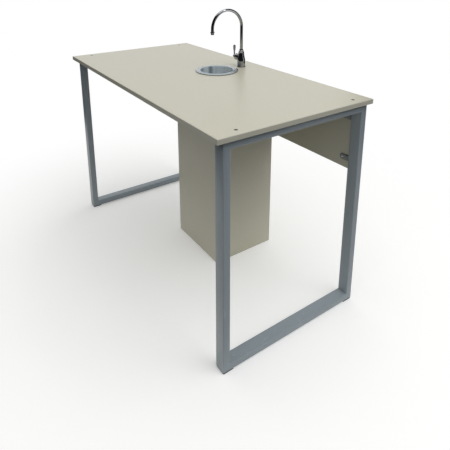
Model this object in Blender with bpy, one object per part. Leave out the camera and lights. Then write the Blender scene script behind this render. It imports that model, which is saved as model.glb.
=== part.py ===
"""Laboratory table with a round sink, a gooseneck tap and a plumbing pedestal.

All sizes are metres and +Z is up. The origin lies on the floor under the centre of the worktop,
+X points to the right end of the table and -Y to the side where the user sits.
"""
from math import cos, pi, radians, sin, sqrt

import bmesh
import bpy
from mathutils import Matrix, Vector

# Whole table
TABLE_LENGTH = 1.200
TABLE_DEPTH = 0.600
TABLE_HEIGHT = 0.760
SEAT_GAP = 0.0003               # left between pieces that touch

# Boards and the plastic band round the worktop
BOARD_THICKNESS = 0.016
CLEAR_FIELD_START = 0.190       # from the middle, where the top is clear of the sink and the tap
BAND_THICKNESS = 0.002
BAND_RADIUS = 0.0016

# End frames, closed loops of rectangular tube
TUBE_WIDTH = 0.040              # along X
TUBE_DEPTH = 0.025              # in the plane of the frame
TUBE_WALL = 0.0015
TUBE_CORNER_RADIUS = 0.003
FRAME_END_INSET = 0.0112
FRAME_FRONT_INSET = 0.0246
FRAME_BACK_INSET = 0.0139
GLIDE_THICKNESS = 0.003
GLIDE_LENGTH = 0.038
GLIDE_INSET = 0.001
GLIDE_STEM_RADIUS = 0.004
GLIDE_STEM_LENGTH = 0.008

# Countersunk screws through the worktop into nuts welded inside the head rails
WORKTOP_SCREW_FRONT_INSET = 0.0544      # from the front of the end frame
WORKTOP_SCREW_BACK_INSET = 0.0471       # from its back
WORKTOP_SCREW_RADIUS = 0.003
WORKTOP_SCREW_HEAD = 0.0058
WORKTOP_SCREW_SOCKET = 0.0026
WORKTOP_SCREW_BITE = 0.014      # below the worktop
WELD_NUT_WALL = 0.0035
WELD_NUT_HEIGHT = 0.005

# Modesty panel between the back legs, and the lugs that carry it
MODESTY_HEIGHT = 0.242
MODESTY_END_CLEARANCE = 0.001
LUG_LENGTH = 0.0408
LUG_HEIGHT = 0.020
LUG_THICKNESS = 0.003
LUG_HOLE_INSET = 0.010          # from the round end of the lug
LUG_LOW = 0.038                 # above the panel's lower edge
LUG_HIGH = 0.056                # below the worktop
LUG_SCREW_RADIUS = 0.0022
LUG_SCREW_HEAD = 0.0050
LUG_SCREW_HEAD_HEIGHT = 0.0028
LUG_SCREW_BITE = 0.010          # in the panel

# Pedestal, whose front clears the sink and whose back clears the modesty panel
PEDESTAL_WIDTH = 0.299
PEDESTAL_FRONT_CLEARANCE = 0.0174
PEDESTAL_BACK_CLEARANCE = 0.0035
SERVICE_PANEL_CLEARANCE = 0.001
SERVICE_PANEL_LIFT = 0.003
CLEAT_SIDE = 0.020
SERVICE_SCREW_HEIGHT = 0.560
SERVICE_SCREW_RADIUS = 0.002
SERVICE_SCREW_HEAD = 0.0045
SERVICE_SCREW_HEAD_HEIGHT = 0.0026
SERVICE_SCREW_BITE = 0.012      # in the cleat

# Round inset sink
SINK_SHEET = 0.0012
BOWL_RADIUS = 0.0655
BOWL_DEPTH = 0.120
BOWL_TAPER = 0.003
BOWL_CORNER_RADIUS = 0.022
BOWL_FALL = 0.003               # slope of the bowl's floor to the drain
RIM_WIDTH = 0.020
RIM_RISE = 0.0011               # of the rim's crest over its outer edge
RIM_BREAK = 0.62                # share of that rise gained by the middle of the rim
RIM_LIP_RADIUS = 0.0028
SINK_SEAL_WIDTH = 0.008
SINK_SEAL_THICKNESS = 0.0009
CUTOUT_CLEARANCE = 0.004

# Waste under the sink
DRAIN_RADIUS = 0.0225
DRAIN_SEAL_WIDTH = 0.0055
DRAIN_SEAL_THICKNESS = 0.001
DRAIN_FLAT = 0.003              # of the bowl's floor round the seal
STRAINER_DISH_DEPTH = 0.008
STRAINER_SHEET = 0.0012
STRAINER_CLEARANCE = 0.001
STRAINER_HOLES = 8
STRAINER_HOLE_RADIUS = 0.0032
DRAIN_SCREW_RADIUS = 0.0025
DRAIN_SCREW_HEAD = 0.0055
DRAIN_SCREW_HEAD_HEIGHT = 0.003
DRAIN_SCREW_BITE = 0.018
DRAIN_BODY_WALL = 0.0025
DRAIN_FUNNEL_HEIGHT = 0.010
DRAIN_BAR_WIDTH = 0.006
DRAIN_BAR_HEIGHT = 0.006
DRAIN_BOSS_WALL = 0.0035
PIPE_RADIUS = 0.016
PIPE_WALL = 0.002
NECK_WALL = 0.003
NECK_SPARE = 0.005              # of bare neck behind a tightened nut
NUT_WALL = 0.0042
NUT_LENGTH = 0.018
NUT_LIP = 0.003
NUT_CHAMFER = 0.0015
TAILPIECE_FLANGE = 0.0022
TAILPIECE_BARE = 0.016          # of the tailpiece between its two nuts
TRAP_RADIUS = 0.034
TRAP_WALL = 0.0025
TRAP_SHOULDER = 0.014
TRAP_PORT_DROP = 0.002          # of the outlet port's top below the shoulder
TRAP_SEAL_DEPTH = 0.025         # of the tailpiece below the outlet
TRAP_CUP_CLEARANCE = 0.004      # under the outlet's nut
TRAP_CUP_GRIP = 0.030
TRAP_CUP_WALL = 0.003
TRAP_CUP_CHAMFER = 0.004
OUTLET_REACH = 0.070            # from the trap's wall to the middle of the down pipe
OUTLET_BEND_RADIUS = 0.030
OUTLET_END_HEIGHT = 0.040       # over the floor

# Tap
TAP_BACK_INSET = 0.083          # of its axis, from the worktop's back edge
TAP_TO_SINK = 0.121             # from its axis to the sink's centre
TAP_HOLE_CLEARANCE = 0.0012
TAP_SEAL_THICKNESS = 0.0008
FLANGE_RADIUS = 0.0185
FLANGE_THICKNESS = 0.0031
FLANGE_BEVEL = 0.0012
BODY_HEIGHT = 0.059
BODY_STRAIGHT = 0.027           # height of its cylindrical foot
BODY_RADIUS = 0.0165
BODY_WAIST_RADIUS = 0.0118
BODY_TOP_RADIUS = 0.0106
BODY_TOP_ROUND = 0.0012
BELL_POWER = 1.8                # how fast the bell draws in over its foot
BELL_RISES = (0.0, 0.14, 0.3, 0.5, 0.72)
VALVE_HEIGHT = 0.037            # of the valve's axis over the worktop
SOCKET_FLOOR_THICKNESS = 0.0043
BUSHING_WALL = 0.0019
GLAND_HEIGHT = 0.0056
GLAND_RADIUS = 0.0100
GLAND_TOP_RADIUS = 0.0086
COLLAR_HEIGHT = 0.0042
COLLAR_WALL = 0.0014
SPOUT_RADIUS = 0.006
SPOUT_WALL = 0.001
SPOUT_CLEARANCE = 0.0003
ARCH_RADIUS = 0.0704
ARCH_SPRING = 0.167             # height over the worktop at which the arch begins
SPOUT_TAIL = 0.0121             # straight end of the spout under the arch
NOZZLE_OVERLAP = 0.0032         # of the nozzle over the spout's end
NOZZLE_COLLAR_WALL = 0.0021
NOZZLE_COLLAR_HEIGHT = 0.0047
NOZZLE_TIP_HEIGHT = 0.0078
NOZZLE_TIP_WALL = 0.0011
NOZZLE_BORE = 0.0055
BONNET_RADIUS = 0.0148
BONNET_SHOULDER = 0.032         # from the tap's axis
BONNET_CONE = 0.0105
BONNET_END_WALL = 0.0020
BONNET_PROFILE = ((1.0, -0.1), (0.9, 0.0), (0.35, 0.7), (0.0, 0.94), (-0.08, 1.0))
STEM_RADIUS = 0.0044
STEM_CLEARANCE = 0.0003
STEM_TAIL_RADIUS = 0.0028
STEM_PORT_RADIUS = 0.0020
STEM_TIP = 0.0036               # past the tap's axis
HUB_RADIUS = 0.0064
HUB_FLAT_ANGLE = 26             # half angle of the flat that faces the bonnet
LEVER_RISE = 0.0478             # from the valve's axis to the lever's top
LEVER_WIDTH = 0.0128
LEVER_THICKNESS = 0.0054
LEVER_SECTIONS = (              # shares of the rise, the width and the thickness
    (0.06, 0.50, 0.75), (0.24, 0.52, 0.76), (0.42, 0.64, 0.85), (0.60, 0.86, 1.00),
    (0.74, 1.00, 1.00), (0.87, 0.95, 1.00), (0.96, 0.66, 0.86), (1.00, 0.24, 0.57),
)
SHANK_RADIUS = 0.0058
SHANK_GRIP = 0.0094             # in the body
SHANK_LENGTH = 0.060            # below the worktop's top
WATER_BORE = 0.0031
WASHER_RADIUS = 0.0140
WASHER_THICKNESS = 0.0016
TAP_NUT_RADIUS = 0.0105
TAP_NUT_HEIGHT = 0.0060

# Fineness of round pieces
SINK_SIDES = 40
TURNED_SIDES = 28
PIPE_SIDES = 20
SPOUT_SIDES = 14
HUB_SIDES = 16
LEVER_SIDES = 14
HOLE_SIDES = 12
SCREW_SIDES = 8
ARCH_STEPS = 20
BEND_STEPS = 7
CUT_MARGIN = 0.002              # by which a cutter stands out of what it cuts

# Places of the boards and the frames
HALF_LENGTH = TABLE_LENGTH / 2
HALF_DEPTH = TABLE_DEPTH / 2
BOARD_UNDERSIDE = TABLE_HEIGHT - BOARD_THICKNESS
UNDER_BOARD = BOARD_UNDERSIDE - SEAT_GAP
FRAME_X = HALF_LENGTH - FRAME_END_INSET - TUBE_WIDTH / 2
FRAME_INNER_X = FRAME_X - TUBE_WIDTH / 2
FRAME_FRONT = FRAME_FRONT_INSET - HALF_DEPTH
FRAME_BACK = HALF_DEPTH - FRAME_BACK_INSET
FRAME_LOW = GLIDE_THICKNESS + SEAT_GAP
MODESTY_LOW = BOARD_UNDERSIDE - MODESTY_HEIGHT
MODESTY_FRONT = FRAME_BACK - BOARD_THICKNESS
LUG_FACE = MODESTY_FRONT - SEAT_GAP
TAP_Y = HALF_DEPTH - TAP_BACK_INSET
SINK_Y = TAP_Y - TAP_TO_SINK
RIM_RADIUS = BOWL_RADIUS + RIM_WIDTH
CUTOUT_RADIUS = BOWL_RADIUS + SINK_SHEET + CUTOUT_CLEARANCE
PEDESTAL_X = PEDESTAL_WIDTH / 2
PEDESTAL_INNER_X = PEDESTAL_X - BOARD_THICKNESS
PEDESTAL_BACK = MODESTY_FRONT - PEDESTAL_BACK_CLEARANCE
PEDESTAL_INNER_BACK = PEDESTAL_BACK - BOARD_THICKNESS
PEDESTAL_INNER_FRONT = SINK_Y - CUTOUT_RADIUS - PEDESTAL_FRONT_CLEARANCE
PEDESTAL_FRONT = PEDESTAL_INNER_FRONT - BOARD_THICKNESS

# Heights of the waste, from the worktop's top down
DRAIN_SEAL_HIGH = -BOWL_DEPTH - SINK_SHEET - SEAT_GAP
DRAIN_BODY_HIGH = DRAIN_SEAL_HIGH - DRAIN_SEAL_THICKNESS - SEAT_GAP
STRAINER_LOW = -BOWL_DEPTH + SEAT_GAP - STRAINER_DISH_DEPTH
DRAIN_BAR_HIGH = STRAINER_LOW - SEAT_GAP
FUNNEL_HIGH = DRAIN_BAR_HIGH - DRAIN_BAR_HEIGHT
FUNNEL_LOW = FUNNEL_HIGH - DRAIN_FUNNEL_HEIGHT
DRAIN_NECK_LOW = FUNNEL_LOW - NUT_LENGTH - NECK_SPARE
TAILPIECE_HIGH = DRAIN_NECK_LOW - SEAT_GAP
DRAIN_NUT_LOW = TAILPIECE_HIGH - TAILPIECE_FLANGE - SEAT_GAP - NUT_LIP
TRAP_NUT_HIGH = DRAIN_NUT_LOW - TAILPIECE_BARE
TRAP_NECK_HIGH = TRAP_NUT_HIGH - NUT_LIP - SEAT_GAP
SHOULDER_HIGH = TRAP_NECK_HIGH - NUT_LENGTH - NECK_SPARE
SHOULDER_LOW = SHOULDER_HIGH - TRAP_SHOULDER
NECK_RADIUS = PIPE_RADIUS + NECK_WALL
NUT_RADIUS = NECK_RADIUS + SEAT_GAP + NUT_WALL
PORT_Z = SHOULDER_LOW - TRAP_PORT_DROP - NECK_RADIUS
PORT_END = TRAP_RADIUS + NUT_LENGTH + NECK_SPARE
TAILPIECE_LOW = PORT_Z - PIPE_RADIUS - TRAP_SEAL_DEPTH
TRAP_CUP_HIGH = PORT_Z - NUT_RADIUS - TRAP_CUP_CLEARANCE
TRAP_LOW = TRAP_CUP_HIGH - TRAP_CUP_GRIP

# Heights of the tap, from the worktop's top up
FLANGE_LOW = SEAT_GAP + TAP_SEAL_THICKNESS + SEAT_GAP
FLANGE_HIGH = FLANGE_LOW + FLANGE_THICKNESS
BODY_FOOT = FLANGE_HIGH + SEAT_GAP
BODY_TOP = BODY_FOOT + BODY_HEIGHT
SOCKET_FLOOR = VALVE_HEIGHT + STEM_RADIUS + STEM_CLEARANCE + SOCKET_FLOOR_THICKNESS
GLAND_HIGH = BODY_TOP + SEAT_GAP + GLAND_HEIGHT
SPOUT_BORE = SPOUT_RADIUS + SPOUT_CLEARANCE
BONNET_REACH = BONNET_SHOULDER + BONNET_CONE
HUB_NEAR = BONNET_REACH + SEAT_GAP
HUB_CENTRE = HUB_NEAR + HUB_RADIUS * cos(radians(HUB_FLAT_ANGLE))
SPOUT_END = ARCH_SPRING - SPOUT_TAIL

FINISHES = {
    "laminate": ((0.545, 0.530, 0.470), 0.55, 0.0),
    "edge band": ((0.430, 0.418, 0.360), 0.45, 0.0),
    "grey enamel": ((0.150, 0.180, 0.215), 0.40, 0.2),
    "stainless steel": ((0.620, 0.640, 0.650), 0.28, 1.0),
    "chrome": ((0.780, 0.790, 0.800), 0.06, 1.0),
    "zinc": ((0.520, 0.530, 0.540), 0.38, 1.0),
    "brass": ((0.680, 0.510, 0.240), 0.30, 1.0),
    "black plastic": ((0.020, 0.020, 0.022), 0.50, 0.0),
    "white plastic": ((0.800, 0.800, 0.780), 0.42, 0.0),
    "black rubber": ((0.015, 0.015, 0.015), 0.80, 0.0),
    "beech": ((0.560, 0.390, 0.240), 0.65, 0.0),
}


def add_part(name, shape, finish, carrier=None, place=(0.0, 0.0, 0.0), turn=(0.0, 0.0, 0.0)):
    """Make a finished object from a bmesh, placed in the frame of an empty where one is given."""
    bmesh.ops.recalc_face_normals(shape, faces=shape.faces)
    mesh = bpy.data.meshes.new(name)
    shape.to_mesh(mesh)
    shape.free()
    colour, roughness, metallic = FINISHES[finish]
    material = bpy.data.materials.new(name)
    material.use_nodes = True
    shader = material.node_tree.nodes["Principled BSDF"]
    shader.inputs["Base Color"].default_value = (*colour, 1.0)
    shader.inputs["Roughness"].default_value = roughness
    shader.inputs["Metallic"].default_value = metallic
    mesh.materials.append(material)
    mesh.shade_smooth()
    mesh.set_sharp_from_angle(angle=radians(35))
    part = bpy.data.objects.new(name, mesh)
    put(part, carrier, place, turn)
    return part


def put(thing, carrier, place, turn=(0.0, 0.0, 0.0)):
    """Link an object to the scene at a place, carried by an empty or by nothing."""
    thing.parent = carrier
    thing.location = place
    thing.rotation_euler = turn
    bpy.context.scene.collection.objects.link(thing)


def add_copy(part, name, place):
    """Another object with the mesh of a part, at a place of its own."""
    copy = bpy.data.objects.new(name, part.data)
    put(copy, part.parent, place, part.rotation_euler)


def add_empty(name, place):
    """Empty that carries pieces and marks the axis of what turns."""
    empty = bpy.data.objects.new(name, None)
    empty.empty_display_size = 0.03
    put(empty, None, place)
    return empty


def add_board(name, low, high, finish):
    """Rectangular board between two corners, its origin in its middle."""
    size = Vector(high) - Vector(low)
    shape = bmesh.new()
    bmesh.ops.create_cube(shape, size=1.0, matrix=Matrix.Diagonal((*size, 1.0)))
    return add_part(name, shape, finish, place=(Vector(high) + Vector(low)) / 2)


def score(board, lines):
    """Divide a board's faces along lines across its length, so that each field is a face of its own."""
    shape = bmesh.new()
    shape.from_mesh(board.data)
    for line in lines:
        everything = shape.verts[:] + shape.edges[:] + shape.faces[:]
        bmesh.ops.bisect_plane(shape, geom=everything, plane_co=(line, 0.0, 0.0), plane_no=(1.0, 0.0, 0.0))
    shape.to_mesh(board.data)
    shape.free()


def combine(part, shape, operation):
    """Add a shape to a part or cut it out, the shape given in the frame that the part is placed in."""
    bmesh.ops.recalc_face_normals(shape, faces=shape.faces)
    name = part.name + "_" + operation.lower()
    mesh = bpy.data.meshes.new(name)
    shape.to_mesh(mesh)
    shape.free()
    tool = bpy.data.objects.new(name, mesh)
    tool.hide_render = True
    tool.display_type = "WIRE"
    put(tool, part.parent, (0.0, 0.0, 0.0))
    modifier = part.modifiers.new(operation.title(), "BOOLEAN")
    modifier.operation = operation
    modifier.solver = "EXACT"
    modifier.object = tool


def drill(part, mouth, direction, depth, radius, sides=HOLE_SIDES):
    """Cut a round hole that runs from its mouth in a direction."""
    shape = rod(radius, -CUT_MARGIN, depth, sides)
    turn = Vector((0.0, 0.0, 1.0)).rotation_difference(Vector(direction)).to_matrix().to_4x4()
    bmesh.ops.transform(shape, matrix=Matrix.Translation(mouth) @ turn, verts=shape.verts)
    combine(part, shape, "DIFFERENCE")


def extruded(outline, low, high):
    """Solid between two heights over a closed outline of (x, y) points."""
    shape = bmesh.new()
    face = shape.faces.new([shape.verts.new((x, y, low)) for x, y in outline])
    made = bmesh.ops.extrude_face_region(shape, geom=[face])["geom"]
    risen = [item for item in made if isinstance(item, bmesh.types.BMVert)]
    bmesh.ops.translate(shape, verts=risen, vec=(0.0, 0.0, high - low))
    return shape


def turned(outline, sides=TURNED_SIDES):
    """Solid turned round Z from a closed outline of (radius, height) points."""
    shape = bmesh.new()
    rings = []
    for radius, height in outline:
        count = sides if radius > 0 else 1
        turns = [2 * pi * index / sides for index in range(count)]
        rings.append([shape.verts.new((radius * cos(turn), radius * sin(turn), height)) for turn in turns])
    for near, far in zip(rings, rings[1:] + rings[:1]):
        if len(near) + len(far) > 2:
            bridge(shape, near, far)
    return shape


def bridge(shape, near, far):
    """Join two rings of points by a band of faces, or by a fan where one ring is a single point."""
    sides = max(len(near), len(far))
    for index in range(sides):
        after = (index + 1) % sides
        corners = [near[index % len(near)], near[after % len(near)],
                   far[after % len(far)], far[index % len(far)]]
        shape.faces.new(list(dict.fromkeys(corners)))


def sleeve(inner, outer, low, high, sides=TURNED_SIDES):
    """Plain ring or tube standing on Z."""
    return turned([(inner, low), (outer, low), (outer, high), (inner, high)], sides)


def rod(radius, low, high, sides=TURNED_SIDES):
    """Plain round bar standing on Z."""
    return turned([(0.0, low), (radius, low), (radius, high), (0.0, high)], sides)


def arc(centre, radius, start, end, steps):
    """Points of a circular arc, its angles in degrees."""
    turns = [radians(start + (end - start) * step / steps) for step in range(steps + 1)]
    return [(centre[0] + radius * cos(turn), centre[1] + radius * sin(turn)) for turn in turns]


def rounded_rectangle(half_x, half_y, radius, steps=3):
    """Closed outline of a rectangle with round corners."""
    outline = []
    for index, (side_x, side_y) in enumerate(((1, 1), (-1, 1), (-1, -1), (1, -1))):
        centre = (side_x * (half_x - radius), side_y * (half_y - radius))
        outline += arc(centre, radius, 90 * index, 90 * index + 90, steps)
    return outline


def piped(route, radius, bore, sides):
    """Round pipe along points that lie in the plane X = 0."""
    shape = bmesh.new()
    side = Vector((1.0, 0.0, 0.0))
    walls = []
    for wall_radius in (radius, bore):
        rings = []
        for index, point in enumerate(route):
            tangent = route[min(index + 1, len(route) - 1)] - route[max(index - 1, 0)]
            up = side.cross(tangent.normalized())
            turns = [2 * pi * step / sides for step in range(sides)]
            rings.append([shape.verts.new(point + wall_radius * (side * cos(turn) + up * sin(turn)))
                          for turn in turns])
        for near, far in zip(rings, rings[1:]):
            bridge(shape, near, far)
        walls.append(rings)
    outer, inner = walls
    bridge(shape, outer[0], inner[0])
    bridge(shape, outer[-1], inner[-1])
    return shape


def screw(radius, head_radius, head_height, length):
    """Round-headed screw on Z with its point down and the underside of its head at zero."""
    return turned([
        (0.0, -length),
        (radius * 0.5, -length + radius * 0.6),
        (radius, -length + radius * 2.0),
        (radius, 0.0),
        (head_radius, 0.0),
        (head_radius * 0.8, head_height * 0.8),
        (radius, head_height),
        (radius * 0.8, head_height * 0.45),
        (0.0, head_height * 0.45),
    ], SCREW_SIDES)


def worktop_screw_places():
    """Names and places of the worktop's screws, over the middle lines of the head rails."""
    rows = ((FRAME_FRONT + WORKTOP_SCREW_FRONT_INSET, "front"),
            (FRAME_BACK - WORKTOP_SCREW_BACK_INSET, "back"))
    places = {}
    for side, side_name in ((-1, "left"), (1, "right")):
        for row, end_name in rows:
            places[side_name + "_" + end_name] = (side * FRAME_X, row)
    return places


def build_worktop():
    """Board with the sink's cut-out, the tap's hole and four countersunk screw holes."""
    half_x = HALF_LENGTH - BAND_THICKNESS - SEAT_GAP
    half_y = HALF_DEPTH - BAND_THICKNESS - SEAT_GAP
    board = add_board("worktop", (-half_x, -half_y, BOARD_UNDERSIDE),
                      (half_x, half_y, TABLE_HEIGHT), "laminate")
    score(board, (-CLEAR_FIELD_START, CLEAR_FIELD_START))
    through = BOARD_THICKNESS + CUT_MARGIN
    drill(board, (0.0, SINK_Y, TABLE_HEIGHT), (0, 0, -1), through, CUTOUT_RADIUS, SINK_SIDES)
    drill(board, (0.0, TAP_Y, TABLE_HEIGHT), (0, 0, -1), through, SHANK_RADIUS + TAP_HOLE_CLEARANCE)
    shank = WORKTOP_SCREW_RADIUS + SEAT_GAP
    head = WORKTOP_SCREW_HEAD + SEAT_GAP
    for x, y in worktop_screw_places().values():
        countersink = turned([
            (0.0, -through),
            (shank, -through),
            (shank, shank - head - SEAT_GAP),
            (head, -SEAT_GAP),
            (head, CUT_MARGIN),
            (0.0, CUT_MARGIN),
        ], HOLE_SIDES)
        bmesh.ops.translate(countersink, verts=countersink.verts, vec=(x, y, TABLE_HEIGHT))
        combine(board, countersink, "DIFFERENCE")


def build_worktop_band():
    """Plastic band round the worktop, mitred at the corners, its outer edges rounded."""
    middle = TABLE_HEIGHT - BOARD_THICKNESS / 2
    half = BOARD_THICKNESS / 2
    centre_out = BAND_THICKNESS - BAND_RADIUS
    outline = [(0.0, half), (0.0, -half)]
    outline += arc((centre_out, BAND_RADIUS - half), BAND_RADIUS, -90, 0, 3)
    outline += arc((centre_out, half - BAND_RADIUS), BAND_RADIUS, 0, 90, 3)
    shape = bmesh.new()
    corners = []
    for side_x, side_y in ((1, 1), (-1, 1), (-1, -1), (1, -1)):
        corners.append([
            shape.verts.new((
                side_x * (HALF_LENGTH - BAND_THICKNESS + out),
                side_y * (HALF_DEPTH - BAND_THICKNESS + out),
                rise,
            ))
            for out, rise in outline
        ])
    for near, far in zip(corners, corners[1:] + corners[:1]):
        bridge(shape, near, far)
    add_part("worktop_edge_band", shape, "edge band", place=(0.0, 0.0, middle))


def build_worktop_screws():
    """Countersunk screws that hold the worktop down on the head rails."""
    drop = WORKTOP_SCREW_HEAD - WORKTOP_SCREW_RADIUS
    length = BOARD_THICKNESS + WORKTOP_SCREW_BITE
    first = None
    for name, (x, y) in worktop_screw_places().items():
        if first is None:
            bolt = turned([
                (0.0, -length),
                (WORKTOP_SCREW_RADIUS, -length),
                (WORKTOP_SCREW_RADIUS, -drop - SEAT_GAP),
                (WORKTOP_SCREW_HEAD, -SEAT_GAP),
                (WORKTOP_SCREW_SOCKET, -SEAT_GAP),
                (WORKTOP_SCREW_SOCKET, -drop),
                (0.0, -drop),
            ], HOLE_SIDES)
            first = add_part("worktop_screw_" + name, bolt, "zinc", place=(x, y, TABLE_HEIGHT))
        else:
            add_copy(first, "worktop_screw_" + name, (x, y, TABLE_HEIGHT))


def mitred_tube(name, length, place, turn):
    """Tube on Z with 45 degree ends, so that its +Y side is the long one."""
    shape = bmesh.new()
    half_x = TUBE_WIDTH / 2
    half_y = TUBE_DEPTH / 2
    mitre_gap = SEAT_GAP / sqrt(2)
    inner_radius = max(TUBE_CORNER_RADIUS - TUBE_WALL, TUBE_WALL / 3)
    rings = []
    for outline in (rounded_rectangle(half_x, half_y, TUBE_CORNER_RADIUS),
                    rounded_rectangle(half_x - TUBE_WALL, half_y - TUBE_WALL, inner_radius)):
        for end in (-1, 1):
            flush = length / 2 - half_y - mitre_gap
            rings.append([shape.verts.new((x, y, end * (flush + y))) for x, y in outline])
    outer_low, outer_high, inner_low, inner_high = rings
    bridge(shape, outer_low, outer_high)
    bridge(shape, inner_low, inner_high)
    bridge(shape, outer_low, inner_low)
    bridge(shape, outer_high, inner_high)
    return add_part(name, shape, "grey enamel", place=place, turn=turn)


def build_frame(side, side_name):
    """One end frame: two legs, a head rail and a foot rail, mitred and welded at the corners."""
    x = side * FRAME_X
    inset = TUBE_DEPTH / 2
    height = UNDER_BOARD - FRAME_LOW
    depth = FRAME_BACK - FRAME_FRONT
    middle_y = (FRAME_FRONT + FRAME_BACK) / 2
    middle_z = (UNDER_BOARD + FRAME_LOW) / 2
    mitred_tube(side_name + "_front_leg", height,
                (x, FRAME_FRONT + inset, middle_z), (0.0, 0.0, pi))
    back_leg = mitred_tube(side_name + "_back_leg", height,
                           (x, FRAME_BACK - inset, middle_z), (0.0, 0.0, 0.0))
    head_rail = mitred_tube(side_name + "_head_rail", depth,
                            (x, middle_y, UNDER_BOARD - inset), (pi / 2, 0.0, 0.0))
    foot_rail = mitred_tube(side_name + "_foot_rail", depth,
                            (x, middle_y, FRAME_LOW + inset), (-pi / 2, 0.0, 0.0))
    weld_lugs(back_leg, side)
    nut_high = UNDER_BOARD - TUBE_WALL / 2
    nut_low = UNDER_BOARD - TUBE_WALL - WELD_NUT_HEIGHT
    for place_x, row in worktop_screw_places().values():
        if place_x * side > 0:
            nut = rod(WORKTOP_SCREW_RADIUS + WELD_NUT_WALL, nut_low, nut_high, 6)
            bmesh.ops.translate(nut, verts=nut.verts, vec=(x, row, 0.0))
            combine(head_rail, nut, "UNION")
            drill(head_rail, (x, row, UNDER_BOARD), (0, 0, -1), UNDER_BOARD - nut_low + CUT_MARGIN,
                  WORKTOP_SCREW_RADIUS + SEAT_GAP, SCREW_SIDES)
    for row, end_name in glide_rows():
        drill(foot_rail, (x, row, FRAME_LOW), (0, 0, 1), TUBE_WALL + CUT_MARGIN, GLIDE_STEM_RADIUS + SEAT_GAP)
        build_glide(side_name + "_" + end_name + "_glide", (x, row, 0.0))


def glide_rows():
    """Middles of a frame's two glides along Y, with the names of their ends."""
    reach = GLIDE_INSET + GLIDE_LENGTH / 2
    return ((FRAME_FRONT + reach, "front"), (FRAME_BACK - reach, "back"))


def build_glide(name, place):
    """Thin pad under a frame's corner, with a stem pressed into the foot rail."""
    outline = rounded_rectangle(TUBE_WIDTH / 2 - GLIDE_INSET, GLIDE_LENGTH / 2, TUBE_CORNER_RADIUS)
    glide = add_part(name, extruded(outline, 0.0, GLIDE_THICKNESS), "black plastic", place=place)
    stem = rod(GLIDE_STEM_RADIUS, GLIDE_THICKNESS / 2, GLIDE_THICKNESS + GLIDE_STEM_LENGTH, HOLE_SIDES)
    bmesh.ops.translate(stem, verts=stem.verts, vec=place)
    combine(glide, stem, "UNION")


def lug_heights():
    """Heights of the two lugs on each back leg."""
    return {"lower": MODESTY_LOW + LUG_LOW, "upper": BOARD_UNDERSIDE - LUG_HIGH}


def lug_screw_x(side):
    """Screw holes of the lugs at one end of the modesty panel."""
    return side * (FRAME_INNER_X - LUG_LENGTH + LUG_HOLE_INSET)


def weld_lugs(leg, side):
    """Two tongues on the inner face of a back leg, in front of the modesty panel."""
    half = LUG_HEIGHT / 2
    root = FRAME_INNER_X + TUBE_WALL / 2
    tip = FRAME_INNER_X - LUG_LENGTH + half
    outline = [(root, -half)] + arc((tip, 0.0), half, 270, 90, 8) + [(root, half)]
    for height in lug_heights().values():
        plate = extruded([(side * x, y) for x, y in outline], 0.0, LUG_THICKNESS)
        upright = Matrix.Translation((0.0, LUG_FACE, height)) @ Matrix.Rotation(pi / 2, 4, "X")
        bmesh.ops.transform(plate, matrix=upright, verts=plate.verts)
        combine(leg, plate, "UNION")
        drill(leg, (lug_screw_x(side), LUG_FACE, height), (0, -1, 0), LUG_THICKNESS + CUT_MARGIN,
              LUG_SCREW_RADIUS + SEAT_GAP, SCREW_SIDES)


def build_modesty_panel():
    """Panel between the back legs, held by a screw through each lug."""
    half_x = FRAME_INNER_X - MODESTY_END_CLEARANCE
    panel = add_board("modesty_panel", (-half_x, MODESTY_FRONT, MODESTY_LOW),
                      (half_x, FRAME_BACK, UNDER_BOARD), "laminate")
    seat = LUG_FACE - LUG_THICKNESS - SEAT_GAP
    length = MODESTY_FRONT - seat + LUG_SCREW_BITE
    first = None
    for side, side_name in ((-1, "left"), (1, "right")):
        for level, height in lug_heights().items():
            name = side_name + "_" + level + "_lug_screw"
            x = lug_screw_x(side)
            drill(panel, (x, MODESTY_FRONT, height), (0, 1, 0), LUG_SCREW_BITE + SEAT_GAP,
                  LUG_SCREW_RADIUS + SEAT_GAP, SCREW_SIDES)
            if first is None:
                bit = screw(LUG_SCREW_RADIUS, LUG_SCREW_HEAD, LUG_SCREW_HEAD_HEIGHT, length)
                first = add_part(name, bit, "zinc", place=(x, seat, height), turn=(pi / 2, 0.0, 0.0))
            else:
                add_copy(first, name, (x, seat, height))


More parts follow.
